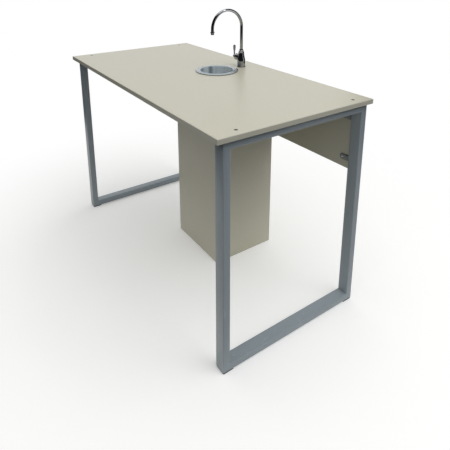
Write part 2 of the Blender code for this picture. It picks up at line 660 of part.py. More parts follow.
def build_pedestal():
    """Front, two sides and a service panel at the back, with cleats inside and an open bottom."""
    add_board("pedestal_front_panel", (-PEDESTAL_X, PEDESTAL_FRONT, 0.0),
              (PEDESTAL_X, PEDESTAL_INNER_FRONT, UNDER_BOARD), "laminate")
    reach = PEDESTAL_INNER_X - SERVICE_PANEL_CLEARANCE
    service = add_board("pedestal_service_panel", (-reach, PEDESTAL_INNER_BACK, SERVICE_PANEL_LIFT),
                        (reach, PEDESTAL_BACK, UNDER_BOARD - SERVICE_PANEL_CLEARANCE), "laminate")
    cleat_high = UNDER_BOARD - CLEAT_SIDE
    cleat_back = PEDESTAL_INNER_BACK - SEAT_GAP
    screw_x = PEDESTAL_INNER_X - SEAT_GAP - CLEAT_SIDE / 2
    for side, side_name in ((-1, "left"), (1, "right")):
        near, far = sorted((side * PEDESTAL_INNER_X, side * PEDESTAL_X))
        add_board("pedestal_" + side_name + "_panel", (near, PEDESTAL_INNER_FRONT + SEAT_GAP, 0.0),
                  (far, PEDESTAL_BACK, UNDER_BOARD), "laminate")
        outer = side * (PEDESTAL_INNER_X - SEAT_GAP)
        near, far = sorted((outer, outer - side * CLEAT_SIDE))
        add_board(side_name + "_top_cleat", (near, PEDESTAL_INNER_FRONT + SEAT_GAP, cleat_high),
                  (far, cleat_back, UNDER_BOARD), "beech")
        cleat = add_board(side_name + "_service_cleat", (near, cleat_back - CLEAT_SIDE, 0.0),
                          (far, cleat_back, cleat_high - SEAT_GAP), "beech")
        mouth = (side * screw_x, PEDESTAL_BACK, SERVICE_SCREW_HEIGHT)
        clear = SERVICE_SCREW_RADIUS + SEAT_GAP
        drill(service, mouth, (0, -1, 0), BOARD_THICKNESS + CUT_MARGIN, clear, SCREW_SIDES)
        drill(cleat, (side * screw_x, cleat_back, SERVICE_SCREW_HEIGHT), (0, -1, 0),
              SERVICE_SCREW_BITE + SEAT_GAP, clear, SCREW_SIDES)
        length = BOARD_THICKNESS + SEAT_GAP * 2 + SERVICE_SCREW_BITE
        bit = screw(SERVICE_SCREW_RADIUS, SERVICE_SCREW_HEAD, SERVICE_SCREW_HEAD_HEIGHT, length)
        seat = (side * screw_x, PEDESTAL_BACK + SEAT_GAP, SERVICE_SCREW_HEIGHT)
        add_part(side_name + "_service_screw", bit, "zinc", place=seat, turn=(-pi / 2, 0.0, 0.0))


def sheet_line(lift, lip, corner, floor):
    """One face of the pressed bowl from the rim's edge over the lip to the drain.

    The upper and the lower face differ in their lift at the rim, their lip and corner radii and
    their floor.
    """
    crest = SINK_SEAL_THICKNESS + SEAT_GAP * 2 + SINK_SHEET + RIM_RISE
    lip_centre = (BOWL_RADIUS + RIM_LIP_RADIUS, crest - RIM_LIP_RADIUS)
    floor_radius = BOWL_RADIUS - BOWL_TAPER
    corner_centre = (floor_radius - BOWL_CORNER_RADIUS, BOWL_FALL - BOWL_DEPTH + BOWL_CORNER_RADIUS)
    cone_radius = (RIM_RADIUS + lip_centre[0]) / 2
    line = [(RIM_RADIUS, lift), (cone_radius, lift + RIM_RISE * RIM_BREAK)]
    line += arc(lip_centre, lip, 70, 180, 4)
    line += arc(corner_centre, corner, 0, -90, 5)
    line += [(DRAIN_RADIUS + DRAIN_SEAL_WIDTH + DRAIN_FLAT, floor), (DRAIN_RADIUS, floor)]
    return line


def build_sink(carrier):
    """Pressed bowl with a rolled rim, bonded into the worktop on a soft ring."""
    seat = SINK_SEAL_THICKNESS + SEAT_GAP * 2
    upper = sheet_line(seat + SINK_SHEET, RIM_LIP_RADIUS, BOWL_CORNER_RADIUS, -BOWL_DEPTH)
    lower = sheet_line(seat, RIM_LIP_RADIUS - SINK_SHEET, BOWL_CORNER_RADIUS + SINK_SHEET,
                       -BOWL_DEPTH - SINK_SHEET)
    add_part("sink_bowl", turned(upper + lower[::-1], SINK_SIDES), "stainless steel", carrier)
    seal = sleeve(RIM_RADIUS - SINK_SEAL_WIDTH, RIM_RADIUS + SEAT_GAP,
                  SEAT_GAP, SEAT_GAP + SINK_SEAL_THICKNESS, SINK_SIDES)
    add_part("sink_seal", seal, "black rubber", carrier)


def build_drain(carrier):
    """Strainer in the bowl's floor, drawn down on the drain's body by a screw."""
    outer = DRAIN_RADIUS + DRAIN_SEAL_WIDTH
    seal = sleeve(DRAIN_RADIUS, outer, DRAIN_SEAL_HIGH - DRAIN_SEAL_THICKNESS, DRAIN_SEAL_HIGH)
    add_part("drain_seal", seal, "black rubber", carrier)

    sheet = STRAINER_SHEET
    rim_low = SEAT_GAP - BOWL_DEPTH
    floor = STRAINER_LOW
    dish = DRAIN_RADIUS - STRAINER_CLEARANCE
    screw_hole = DRAIN_SCREW_RADIUS + SEAT_GAP
    strainer = add_part("drain_strainer", turned([
        (screw_hole, floor), (dish - sheet, floor), (dish, floor + sheet), (dish, rim_low), (outer, rim_low),
        (outer, rim_low + sheet * 0.5), (outer - sheet, rim_low + sheet), (dish, rim_low + sheet),
        (dish - sheet, rim_low), (dish - sheet, floor + sheet * 2), (dish - sheet * 2, floor + sheet),
        (screw_hole, floor + sheet),
    ]), "stainless steel", carrier)
    ring_radius = (dish - sheet * 2 + DRAIN_SCREW_HEAD) / 2
    for index in range(STRAINER_HOLES):
        turn = 2 * pi * (index + 0.5) / STRAINER_HOLES
        mouth = (ring_radius * cos(turn), ring_radius * sin(turn), floor + sheet)
        drill(strainer, mouth, (0, 0, -1), sheet + CUT_MARGIN, STRAINER_HOLE_RADIUS, SCREW_SIDES)
    head_low = floor + sheet + SEAT_GAP
    length = head_low - DRAIN_BAR_HIGH + DRAIN_SCREW_BITE
    add_part("drain_screw", screw(DRAIN_SCREW_RADIUS, DRAIN_SCREW_HEAD, DRAIN_SCREW_HEAD_HEIGHT, length),
             "stainless steel", carrier, place=(0.0, 0.0, head_low))

    throat = DRAIN_RADIUS
    wall = throat + DRAIN_BODY_WALL
    body = add_part("drain_body", turned([
        (throat, DRAIN_BODY_HIGH), (outer, DRAIN_BODY_HIGH), (outer, DRAIN_BODY_HIGH - DRAIN_BODY_WALL),
        (wall, DRAIN_BODY_HIGH - DRAIN_BODY_WALL * 2), (wall, FUNNEL_HIGH), (NECK_RADIUS, FUNNEL_LOW),
        (NECK_RADIUS, DRAIN_NECK_LOW), (PIPE_RADIUS, DRAIN_NECK_LOW), (PIPE_RADIUS, FUNNEL_LOW),
        (throat, FUNNEL_HIGH),
    ]), "white plastic", carrier)
    reach = throat + DRAIN_BODY_WALL / 2
    half = DRAIN_BAR_WIDTH / 2
    cross_section = [(-reach, -half), (reach, -half), (reach, half), (-reach, half)]
    combine(body, extruded(cross_section, FUNNEL_HIGH, DRAIN_BAR_HIGH), "UNION")
    boss = rod(DRAIN_SCREW_RADIUS + DRAIN_BOSS_WALL, FUNNEL_LOW, DRAIN_BAR_HIGH, HOLE_SIDES)
    combine(body, boss, "UNION")
    drill(body, (0.0, 0.0, DRAIN_BAR_HIGH), (0, 0, -1), DRAIN_BAR_HIGH - FUNNEL_LOW + CUT_MARGIN, screw_hole,
          SCREW_SIDES)


def build_trap(carrier):
    """Tailpiece and bottle trap under the drain, with their nuts, and the outlet pipe."""
    add_part("trap_tailpiece", turned([
        (PIPE_RADIUS - PIPE_WALL, TAILPIECE_HIGH), (NECK_RADIUS, TAILPIECE_HIGH),
        (NECK_RADIUS, TAILPIECE_HIGH - TAILPIECE_FLANGE), (PIPE_RADIUS, TAILPIECE_HIGH - TAILPIECE_FLANGE),
        (PIPE_RADIUS, TAILPIECE_LOW), (PIPE_RADIUS - PIPE_WALL, TAILPIECE_LOW),
    ], PIPE_SIDES), "white plastic", carrier)

    inner = NECK_RADIUS + SEAT_GAP
    clear = PIPE_RADIUS + SEAT_GAP
    nuts = (
        ("drain_nut", (0.0, 0.0, DRAIN_NUT_LOW), (0.0, 0.0, 0.0)),
        ("trap_inlet_nut", (0.0, 0.0, TRAP_NUT_HIGH), (pi, 0.0, 0.0)),
        ("trap_outlet_nut", (0.0, PORT_END + SEAT_GAP + NUT_LIP, PORT_Z), (pi / 2, 0.0, 0.0)),
    )
    for name, place, turn in nuts:
        nut = turned([
            (clear, 0.0), (NUT_RADIUS - NUT_CHAMFER, 0.0), (NUT_RADIUS, NUT_CHAMFER),
            (NUT_RADIUS, NUT_LENGTH - NUT_CHAMFER), (NUT_RADIUS - NUT_CHAMFER, NUT_LENGTH),
            (inner, NUT_LENGTH), (inner, NUT_LIP), (clear, NUT_LIP),
        ], PIPE_SIDES)
        add_part(name, nut, "white plastic", carrier, place, turn)

    trap = add_part("trap_body", turned([
        (0.0, TRAP_LOW), (TRAP_RADIUS, TRAP_LOW), (TRAP_RADIUS, SHOULDER_LOW), (NECK_RADIUS, SHOULDER_HIGH),
        (NECK_RADIUS, TRAP_NECK_HIGH), (0.0, TRAP_NECK_HIGH),
    ]), "white plastic", carrier)
    port = rod(NECK_RADIUS, TRAP_RADIUS / 2, PORT_END, PIPE_SIDES)
    level = Matrix.Translation((0.0, 0.0, PORT_Z)) @ Matrix.Rotation(-pi / 2, 4, "X")
    bmesh.ops.transform(port, matrix=level, verts=port.verts)
    combine(trap, port, "UNION")
    hollow = TRAP_RADIUS - TRAP_WALL
    combine(trap, turned([
        (0.0, TRAP_LOW - CUT_MARGIN), (hollow, TRAP_LOW - CUT_MARGIN),
        (hollow, SHOULDER_LOW - TRAP_WALL / 2), (clear, SHOULDER_HIGH - TRAP_WALL),
        (clear, TRAP_NECK_HIGH + CUT_MARGIN), (0.0, TRAP_NECK_HIGH + CUT_MARGIN),
    ]), "DIFFERENCE")
    port_depth = PORT_END - sqrt(hollow ** 2 - clear ** 2) + CUT_MARGIN
    drill(trap, (0.0, PORT_END, PORT_Z), (0, -1, 0), port_depth, clear, PIPE_SIDES)

    inner = TRAP_RADIUS + SEAT_GAP
    outer = inner + TRAP_CUP_WALL
    floor_high = TRAP_LOW - SEAT_GAP
    floor_low = floor_high - TRAP_CUP_WALL
    add_part("trap_cup", turned([
        (0.0, floor_low), (outer - TRAP_CUP_CHAMFER, floor_low), (outer, floor_low + TRAP_CUP_CHAMFER),
        (outer, TRAP_CUP_HIGH), (inner, TRAP_CUP_HIGH), (inner, floor_high), (0.0, floor_high),
    ]), "white plastic", carrier)

    down_y = TRAP_RADIUS + OUTLET_REACH
    bend_centre = (down_y - OUTLET_BEND_RADIUS, PORT_Z - OUTLET_BEND_RADIUS)
    route = [Vector((0.0, TRAP_RADIUS, PORT_Z))]
    route += [Vector((0.0, y, z)) for y, z in arc(bend_centre, OUTLET_BEND_RADIUS, 90, 0, BEND_STEPS)]
    route.append(Vector((0.0, down_y, OUTLET_END_HEIGHT - TABLE_HEIGHT)))
    pipe = piped(route, PIPE_RADIUS, PIPE_RADIUS - PIPE_WALL, PIPE_SIDES)
    add_part("outlet_pipe", pipe, "white plastic", carrier)


def body_outline(growth=0.0):
    """Bell-shaped section of the tap's body from its foot up, grown by what has to clear it."""
    bell = BODY_HEIGHT - BODY_STRAIGHT
    outline = [(BODY_RADIUS + growth, BODY_FOOT)]
    for rise in (*BELL_RISES, 1 - BODY_TOP_ROUND / bell):
        drawn_in = 1 - (1 - rise) ** BELL_POWER
        radius = BODY_RADIUS - (BODY_RADIUS - BODY_WAIST_RADIUS) * drawn_in
        outline.append((radius + growth, BODY_FOOT + BODY_STRAIGHT + bell * rise))
    outline.append((BODY_TOP_RADIUS + growth, BODY_TOP))
    return outline


def build_tap_body(carrier):
    """Bell-shaped body on its flange, bored for the spout, the valve and the water."""
    shank_hole = SHANK_RADIUS + SEAT_GAP
    seal = sleeve(shank_hole, FLANGE_RADIUS - TAP_SEAL_THICKNESS, SEAT_GAP, SEAT_GAP + TAP_SEAL_THICKNESS)
    add_part("tap_seal", seal, "black rubber", carrier)
    add_part("tap_flange", turned([
        (shank_hole, FLANGE_LOW), (FLANGE_RADIUS, FLANGE_LOW),
        (FLANGE_RADIUS, FLANGE_HIGH - FLANGE_BEVEL), (FLANGE_RADIUS - FLANGE_BEVEL, FLANGE_HIGH),
        (shank_hole, FLANGE_HIGH),
    ]), "chrome", carrier)
    bell = turned([(0.0, BODY_FOOT)] + body_outline() + [(0.0, BODY_TOP)])
    body = add_part("tap_body", bell, "chrome", carrier)
    socket = SPOUT_BORE + BUSHING_WALL + SEAT_GAP
    drill(body, (0.0, 0.0, BODY_TOP), (0, 0, -1), BODY_TOP - SOCKET_FLOOR, socket, PIPE_SIDES)
    drill(body, (0.0, 0.0, BODY_FOOT), (0, 0, 1), SHANK_GRIP, shank_hole, PIPE_SIDES)
    drill(body, (0.0, 0.0, BODY_TOP), (0, 0, -1), BODY_HEIGHT, WATER_BORE)
    drill(body, (-BODY_RADIUS, 0.0, VALVE_HEIGHT), (1, 0, 0), BODY_RADIUS + STEM_TIP + SEAT_GAP,
          STEM_RADIUS + STEM_CLEARANCE)


def build_spout_seat(carrier):
    """Gland over the body and the plain bush in it, in which the spout turns."""
    low = BODY_TOP + SEAT_GAP
    add_part("spout_gland", turned([
        (SPOUT_BORE, low), (GLAND_RADIUS, low), (GLAND_RADIUS, low + GLAND_HEIGHT * 0.5),
        (GLAND_TOP_RADIUS, GLAND_HIGH), (SPOUT_BORE, GLAND_HIGH),
    ]), "chrome", carrier)
    bush = sleeve(SPOUT_BORE, SPOUT_BORE + BUSHING_WALL, SOCKET_FLOOR + SEAT_GAP, BODY_TOP,
                  PIPE_SIDES)
    add_part("spout_bush", bush, "white plastic", carrier)


def build_tap_fixing(carrier):
    """Threaded shank through the worktop, with the washer and the nut under it."""
    shank_hole = SHANK_RADIUS + SEAT_GAP
    shank = sleeve(WATER_BORE, SHANK_RADIUS, -SHANK_LENGTH, BODY_FOOT + SHANK_GRIP - SEAT_GAP,
                   PIPE_SIDES)
    add_part("tap_shank", shank, "brass", carrier)
    washer_high = -BOARD_THICKNESS - SEAT_GAP
    washer_low = washer_high - WASHER_THICKNESS
    washer = sleeve(shank_hole, WASHER_RADIUS, washer_low, washer_high, PIPE_SIDES)
    add_part("tap_washer", washer, "zinc", carrier)
    nut_high = washer_low - SEAT_GAP
    hexagon = rod(TAP_NUT_RADIUS, nut_high - TAP_NUT_HEIGHT, nut_high, 6)
    nut = add_part("tap_nut", hexagon, "brass", carrier)
    drill(nut, (0.0, 0.0, nut_high), (0, 0, -1), TAP_NUT_HEIGHT + CUT_MARGIN, shank_hole,
          PIPE_SIDES)


def build_bonnet(carrier):
    """Conical bonnet on the left of the body, fitted to its curve and bored for the stem."""
    end_radius = STEM_RADIUS + STEM_CLEARANCE + BONNET_END_WALL
    flare = BONNET_RADIUS - end_radius
    cone = [(end_radius + flare * width, BONNET_SHOULDER + BONNET_CONE * share)
            for width, share in BONNET_PROFILE]
    root = BODY_WAIST_RADIUS / 2
    shape = turned([(0.0, root), (BONNET_RADIUS, root)] + cone + [(0.0, BONNET_REACH)])
    level = Matrix.Translation((0.0, 0.0, VALVE_HEIGHT)) @ Matrix.Rotation(-pi / 2, 4, "Y")
    bmesh.ops.transform(shape, matrix=level, verts=shape.verts)
    bonnet = add_part("valve_bonnet", shape, "chrome", carrier)
    envelope = body_outline(SEAT_GAP)
    low = BODY_FOOT - CUT_MARGIN
    envelope = [(0.0, low), (envelope[0][0], low)] + envelope + [(0.0, BODY_TOP)]
    combine(bonnet, turned(envelope), "DIFFERENCE")
    drill(bonnet, (-BONNET_REACH, 0.0, VALVE_HEIGHT), (1, 0, 0), BONNET_REACH, STEM_RADIUS + STEM_CLEARANCE)


def build_lever(axis):
    """Stem with its cross port, and the upright lever, on an empty whose X axis is the valve's."""
    level = Matrix.Rotation(-pi / 2, 4, "Y")
    tail_end = HUB_CENTRE + HUB_RADIUS * 0.1
    thick_end = BONNET_REACH - SEAT_GAP
    shape = turned([
        (0.0, -STEM_TIP), (STEM_RADIUS, -STEM_TIP), (STEM_RADIUS, thick_end), (STEM_TAIL_RADIUS, thick_end),
        (STEM_TAIL_RADIUS, tail_end), (0.0, tail_end),
    ], HOLE_SIDES)
    bmesh.ops.transform(shape, matrix=level, verts=shape.verts)
    stem = add_part("valve_stem", shape, "brass", axis)
    drill(stem, (0.0, -STEM_RADIUS, 0.0), (0, 1, 0), STEM_RADIUS * 2 + CUT_MARGIN,
          STEM_PORT_RADIUS, SCREW_SIDES)

    ball = arc((0.0, HUB_CENTRE), HUB_RADIUS, HUB_FLAT_ANGLE - 90, 70, 6)
    shape = turned([(0.0, HUB_NEAR)] + ball + [(0.0, HUB_CENTRE + HUB_RADIUS)], HUB_SIDES)
    bmesh.ops.transform(shape, matrix=level, verts=shape.verts)
    lever = add_part("tap_lever", shape, "chrome", axis)
    combine(lever, lever_paddle(), "UNION")
    drill(lever, (-HUB_NEAR, 0.0, 0.0), (-1, 0, 0), tail_end - HUB_NEAR + SEAT_GAP,
          STEM_TAIL_RADIUS + SEAT_GAP)


def lever_paddle():
    """Upright drop-shaped handle, slim at the hub and widest near its top."""
    shape = bmesh.new()
    rings = []
    for rise, width, thickness in LEVER_SECTIONS:
        half_width = width * LEVER_WIDTH / 2
        half_thick = thickness * LEVER_THICKNESS / 2
        turns = [2 * pi * index / LEVER_SIDES for index in range(LEVER_SIDES)]
        rings.append([shape.verts.new((-HUB_CENTRE + half_thick * cos(turn),
                                       half_width * sin(turn), rise * LEVER_RISE))
                      for turn in turns])
    for low, high in zip(rings, rings[1:]):
        bridge(shape, low, high)
    shape.faces.new(rings[0])
    shape.faces.new(rings[-1])
    return shape


def build_spout(axis):
    """Gooseneck with its collar and nozzle, on an empty whose Z axis is the tap's."""
    start = SOCKET_FLOOR + SEAT_GAP * 2
    reach = -2 * ARCH_RADIUS
    arch = arc((-ARCH_RADIUS, ARCH_SPRING), ARCH_RADIUS, 0, 180, ARCH_STEPS)
    route = [Vector((0.0, 0.0, start))]
    route += [Vector((0.0, y, z)) for y, z in arch]
    route.append(Vector((0.0, reach, SPOUT_END)))
    add_part("spout", piped(route, SPOUT_RADIUS, SPOUT_RADIUS - SPOUT_WALL, SPOUT_SIDES), "chrome", axis)

    low = GLAND_HIGH + SEAT_GAP
    high = low + COLLAR_HEIGHT
    bore = SPOUT_RADIUS + SEAT_GAP
    outer = bore + COLLAR_WALL
    bevel = COLLAR_WALL / 2
    add_part("spout_collar", turned([
        (bore, low), (outer, low), (outer, high - bevel), (outer - bevel, high), (bore, high),
    ], PIPE_SIDES), "black plastic", axis)

    high = SPOUT_END + NOZZLE_OVERLAP
    step = high - NOZZLE_COLLAR_HEIGHT
    tip = step - NOZZLE_TIP_HEIGHT
    outer = bore + NOZZLE_COLLAR_WALL
    tip_radius = NOZZLE_BORE + NOZZLE_TIP_WALL
    bevel = NOZZLE_COLLAR_WALL / 3
    add_part("spout_nozzle", turned([
        (bore, high), (outer - bevel, high), (outer, high - bevel), (outer, step + bevel),
        (tip_radius, step), (tip_radius, tip + bevel), (tip_radius - bevel, tip), (NOZZLE_BORE, tip),
        (NOZZLE_BORE, SPOUT_END - SEAT_GAP), (bore, SPOUT_END - SEAT_GAP),
    ], PIPE_SIDES), "chrome", axis, place=(0.0, reach, 0.0))


def main():
    for thing in list(bpy.data.objects):
        bpy.data.objects.remove(thing, do_unlink=True)
    build_worktop()
    build_worktop_band()
    build_worktop_screws()
    build_frame(-1, "left")
    build_frame(1, "right")
    build_modesty_panel()
    build_pedestal()
    sink_centre = add_empty("sink_centre", (0.0, SINK_Y, TABLE_HEIGHT))
    build_sink(sink_centre)
    build_drain(sink_centre)
    build_trap(sink_centre)
    tap_axis = add_empty("tap_axis", (0.0, TAP_Y, TABLE_HEIGHT))
    build_tap_body(tap_axis)
    build_spout_seat(tap_axis)
    build_tap_fixing(tap_axis)
    build_bonnet(tap_axis)
    build_spout(tap_axis)
    lever_axis = add_empty("lever_axis", (0.0, TAP_Y, TABLE_HEIGHT + VALVE_HEIGHT))
    build_lever(lever_axis)


main()
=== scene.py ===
"""Laboratory table in a plain studio: finishes, fine pieces, floor, lamps and camera."""
from math import cos, pi, radians, sin

import bpy
from mathutils import Matrix, Vector


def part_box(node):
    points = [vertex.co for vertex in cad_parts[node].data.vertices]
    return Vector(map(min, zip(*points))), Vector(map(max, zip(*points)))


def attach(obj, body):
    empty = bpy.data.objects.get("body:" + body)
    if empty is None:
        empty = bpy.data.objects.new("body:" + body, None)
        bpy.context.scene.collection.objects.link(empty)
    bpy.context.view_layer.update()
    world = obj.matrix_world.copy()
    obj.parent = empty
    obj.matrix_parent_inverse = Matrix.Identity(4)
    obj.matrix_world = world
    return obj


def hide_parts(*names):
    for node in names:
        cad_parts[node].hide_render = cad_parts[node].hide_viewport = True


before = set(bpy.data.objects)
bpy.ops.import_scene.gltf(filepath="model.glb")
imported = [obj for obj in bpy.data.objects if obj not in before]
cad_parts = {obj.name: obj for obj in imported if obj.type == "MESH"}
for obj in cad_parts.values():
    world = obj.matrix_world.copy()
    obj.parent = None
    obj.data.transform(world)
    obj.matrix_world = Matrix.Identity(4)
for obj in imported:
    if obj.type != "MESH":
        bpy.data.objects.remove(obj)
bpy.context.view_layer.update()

# Directions, and the distance under which points are joined
ORIGIN = (0.0, 0.0, 0.0)
UP = (0.0, 0.0, 1.0)
BACK = (0.0, 1.0, 0.0)
RIGHT = (1.0, 0.0, 0.0)
LEFT = (-1.0, 0.0, 0.0)
LEVEL = (1.0, 1.0, 0.0)
WELD = 1e-6

# Sizes in metres, in the frame of the table: its clearance, worktop, frames and lugs
GAP = 0.0003
TOP = 0.760
BOARD = 0.016
TUBE = (0.040, 0.025)
TUBE_CORNER = 0.003
LUG = (0.0408, 0.003, 0.020)
LUG_HOLE = 0.010

# Sink: the radii of its bowl and rim, the pressed sheet and the bends in it
SINK_Y = 0.096
SINK_CENTRE = (0.0, SINK_Y, TOP)
BOWL = 0.0655
BOWL_TAPER = 0.003
BOWL_CORNER = 0.022
RIM = 0.0855
DEPTH = 0.120
SHEET = 0.0012
LIP = 0.0028
LIP_CREST = 0.0038

# Waste: radii, and the level of the strainer's floor under the worktop's face
DRAIN = 0.0225
DRAIN_FLANGE = DRAIN + 0.0055
DRAIN_FLOOR = -0.1277
PIPE = 0.016
SPIGOT = 0.019
SPIGOT_BORE = 0.0163
GRIP_SIDES = 48

# Tap: its place, the lever's level, and the radii of the bore round its tail, the arch and its pipe
TAP_Y = 0.217
TAP_FOOT = (0.0, TAP_Y, TOP)
TAP_BORE = 0.0061
VALVE_Z = 0.797
ARCH = 0.0704
SPOUT = 0.006


# Materials


def tone(red, green, blue):
    """Linear colour of an sRGB one given in 0 to 255."""
    linear = [value / 255 / 12.92 if value < 10.3 else ((value / 255 + 0.055) / 1.055) ** 2.4
              for value in (red, green, blue)]
    return (*linear, 1.0)


class Wire:
    """A socket of a node tree, on which Python's operators add Math nodes."""

    def __init__(self, tree, socket):
        self.tree = tree
        self.socket = socket

    def calc(self, operation, *rest):
        return self.tree.node("ShaderNodeMath", {"operation": operation}, (self, *rest))

    def __add__(self, other):
        return self.calc("ADD", other)

    def __sub__(self, other):
        return self.calc("SUBTRACT", other)

    def __rsub__(self, other):
        return self.tree.node("ShaderNodeMath", {"operation": "SUBTRACT"}, (other, self))

    def __mul__(self, other):
        return self.calc("MULTIPLY", other)

    def __abs__(self):
        return self.calc("ABSOLUTE")

    __radd__ = __add__
    __rmul__ = __mul__

    def below(self, limit, blur):
        """One where the value is under the limit and zero over it, blurred over a width."""
        return ((limit - self) * (1 / blur) + 0.5).calc("MAXIMUM", 0.0).calc("MINIMUM", 1.0)


class Shading:
    """The node tree of a material or of the world."""

    def __init__(self, owner):
        owner.use_nodes = True
        self.nodes = owner.node_tree.nodes
        self.links = owner.node_tree.links

    def feed(self, socket, value):
        if isinstance(value, Wire):
            self.links.new(value.socket, socket)
        else:
            socket.default_value = value

    def node(self, kind, settings=None, sockets=(), output=0):
        """A node with its settings made first, then the values or wires of its sockets."""
        made = self.nodes.new(kind)
        for name, setting in (settings or {}).items():
            setattr(made, name, setting)
        pairs = sockets.items() if isinstance(sockets, dict) else enumerate(sockets)
        for name, value in pairs:
            self.feed(made.inputs[name], value)
        return Wire(self, made.outputs[output])

    def axes(self, vector):
        """The three components of a vector."""
        return [self.node("ShaderNodeSeparateXYZ", None, (vector,), output=index) for index in range(3)]

    def blend(self, factor, first, second):
        """A mix of two colours, by the Mix node's colour sockets."""
        return self.node("ShaderNodeMix", {"data_type": "RGBA"}, {0: factor, 6: first, 7: second}, output=2)

    def seen(self):
        """One for camera, glossy and transmission rays, zero for the rest."""
        camera, glossy, through = (self.node("ShaderNodeLightPath", output=index) for index in (0, 3, 6))
        return camera.calc("MAXIMUM", glossy).calc("MAXIMUM", through)


class Finish(Shading):
    """A procedural material on a Principled shader."""

    def __init__(self, name, metallic=0.0, specular=0.5, roughness=0.5):
        self.material = bpy.data.materials.new(name)
        super().__init__(self.material)
        self.shader = self.nodes["Principled BSDF"]
        self.set("Roughness", roughness)
        self.set("Metallic", metallic)
        self.set("Specular IOR Level", specular)

    def set(self, name, value):
        self.feed(self.shader.inputs[name], value)

    def place(self, centre=ORIGIN, stretch=(1.0, 1.0, 1.0)):
        """Object coordinates from a centre, stretched along the axes."""
        raw = self.node("ShaderNodeTexCoord", output=3)
        moved = [-value * scale for value, scale in zip(centre, stretch)]
        return self.node("ShaderNodeMapping", None, {0: raw, 1: moved, 3: stretch})

    def noise(self, scale, detail, vector=None):
        """Cloudy values between 0 and 1, their scale in clouds for each metre."""
        return self.node("ShaderNodeTexNoise", None,
                         {"Vector": vector or self.place(), "Scale": scale, "Detail": detail, "Roughness": 0.55})

    def shades(self, factor, colour, spread):
        """A colour that a value between 0 and 1 makes darker and lighter by a share."""
        darker = (*[value * (1 - spread) for value in colour[:3]], 1.0)
        lighter = (*[min(1.0, value * (1 + spread)) for value in colour[:3]], 1.0)
        return self.blend(factor, darker, lighter)

    def bump(self, height, depth):
        """Relief from a value between 0 and 1, its full depth in metres."""
        self.set("Normal", self.node("ShaderNodeBump", None, {"Height": height, "Distance": depth}))

    def vector(self, operation, *vectors, output=0):
        """A vector operation on one or two vectors."""
        return self.node("ShaderNodeVectorMath", {"operation": operation}, vectors, output)


WHITE = (1.0, 1.0, 1.0, 1.0)
BLACK = (0.0, 0.0, 0.0, 1.0)
LAMINATE = tone(196, 193, 175)
BAND = tone(195, 193, 178)
GLUE = tone(96, 84, 66)
RUBBED_ENAMEL = tone(176, 183, 190)
# Colour of the painted shadow in the joint under the worktop
PAINTED_JOINT_SHADOW = tone(48, 52, 54)
STEEL_GLOSS = 0.17
# Painted reflection colours of the bowl's wall, light and dark
BOWL_PAINTED_HIGHLIGHT = tone(218, 228, 232)
BOWL_PAINTED_DARK_REFLECTION = tone(128, 143, 152)
BOWL_SCRATCH = tone(150, 160, 166)
# Where in the noise the bowl's wall is read, which sets the places of its painted light and dark reflection streaks
BOWL_PAINTED_STREAK_OFFSET = (0.0, 0.0, 0.7)
# A limit and a blur in metres: the boards' edge band and its glue line, and the painted shadow in the joint under the
# worktop
BAND_REACH = (0.0008, 0.0001)
GLUE_REACH = (0.00018, 0.0001)
GLUE_DEPTH = 0.0009
PAINTED_SHADOW_REACH = (0.0022, 0.002)


def laminate(name, node=None, flat="Y"):
    """Satin beige laminate with a fine grain; a loose board's cut edges get a glued band."""
    made = Finish(name, specular=0.35)
    grain = made.noise(620.0, 4.0)
    cloud = made.noise(6.0, 5.0)
    mottle = made.noise(170.0, 4.0)
    colour = made.shades(0.25 * cloud + 0.4 * mottle + 0.35 * grain, LAMINATE, 0.13)
    relief = grain
    if node:
        low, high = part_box(node)
        reach = None
        for axis, wire in enumerate(made.axes(made.place())):
            if "XYZ"[axis] != flat:
                side = (wire - low[axis]).calc("MINIMUM", high[axis] - wire)
                reach = side if reach is None else reach.calc("MINIMUM", side)
        band = reach.below(*BAND_REACH)
        glue = abs(reach - GLUE_DEPTH).below(*GLUE_REACH)
        colour = made.blend(band, colour, made.shades(grain, BAND, 0.05))
        colour = made.blend(glue * 0.6, colour, GLUE)
        relief = grain + 3.0 * band
    made.set("Base Color", colour)
    made.set("Roughness", 0.24 + 0.10 * cloud + 0.06 * mottle)
    made.bump(relief, 0.00007)
    return made.material


def edging(name):
    """Satin plastic edging with fine scratches along it."""
    made = Finish(name)
    streaks = made.noise(40.0, 4.0, made.place(stretch=(0.2, 0.2, 12.0)))
    grain = made.noise(500.0, 3.0)
    made.set("Base Color", made.shades(0.6 * streaks + 0.4 * grain, BAND, 0.05))
    made.set("Roughness", 0.34 + 0.14 * streaks)
    made.bump(grain, 0.00003)
    return made.material


def enamel(name, colour, shaded=True):
    """Powder coat with its orange peel, lighter where it is rubbed, and a painted shadow in the joint under the
    board.
    """
    made = Finish(name)
    peel = made.noise(900.0, 2.0)
    cloud = made.noise(14.0, 4.0)
    scuffs = made.noise(60.0, 6.0, made.place(stretch=(1.0, 1.0, 0.25)))
    rubbed = 1 - scuffs.below(0.66, 0.08)
    shade = made.blend(rubbed * 0.25, made.shades(cloud, colour, 0.05), RUBBED_ENAMEL)
    if shaded:
        # Painted shadow: the frame is darkened close under the worktop, where the board shades it.
        under = (TOP - BOARD - made.axes(made.place())[2]).below(*PAINTED_SHADOW_REACH)
        shade = made.blend(under * 0.8, shade, PAINTED_JOINT_SHADOW)
    made.set("Base Color", shade)
    made.set("Roughness", 0.24 + 0.10 * cloud + 0.05 * peel)
    made.bump(peel, 0.00005)
    return made.material


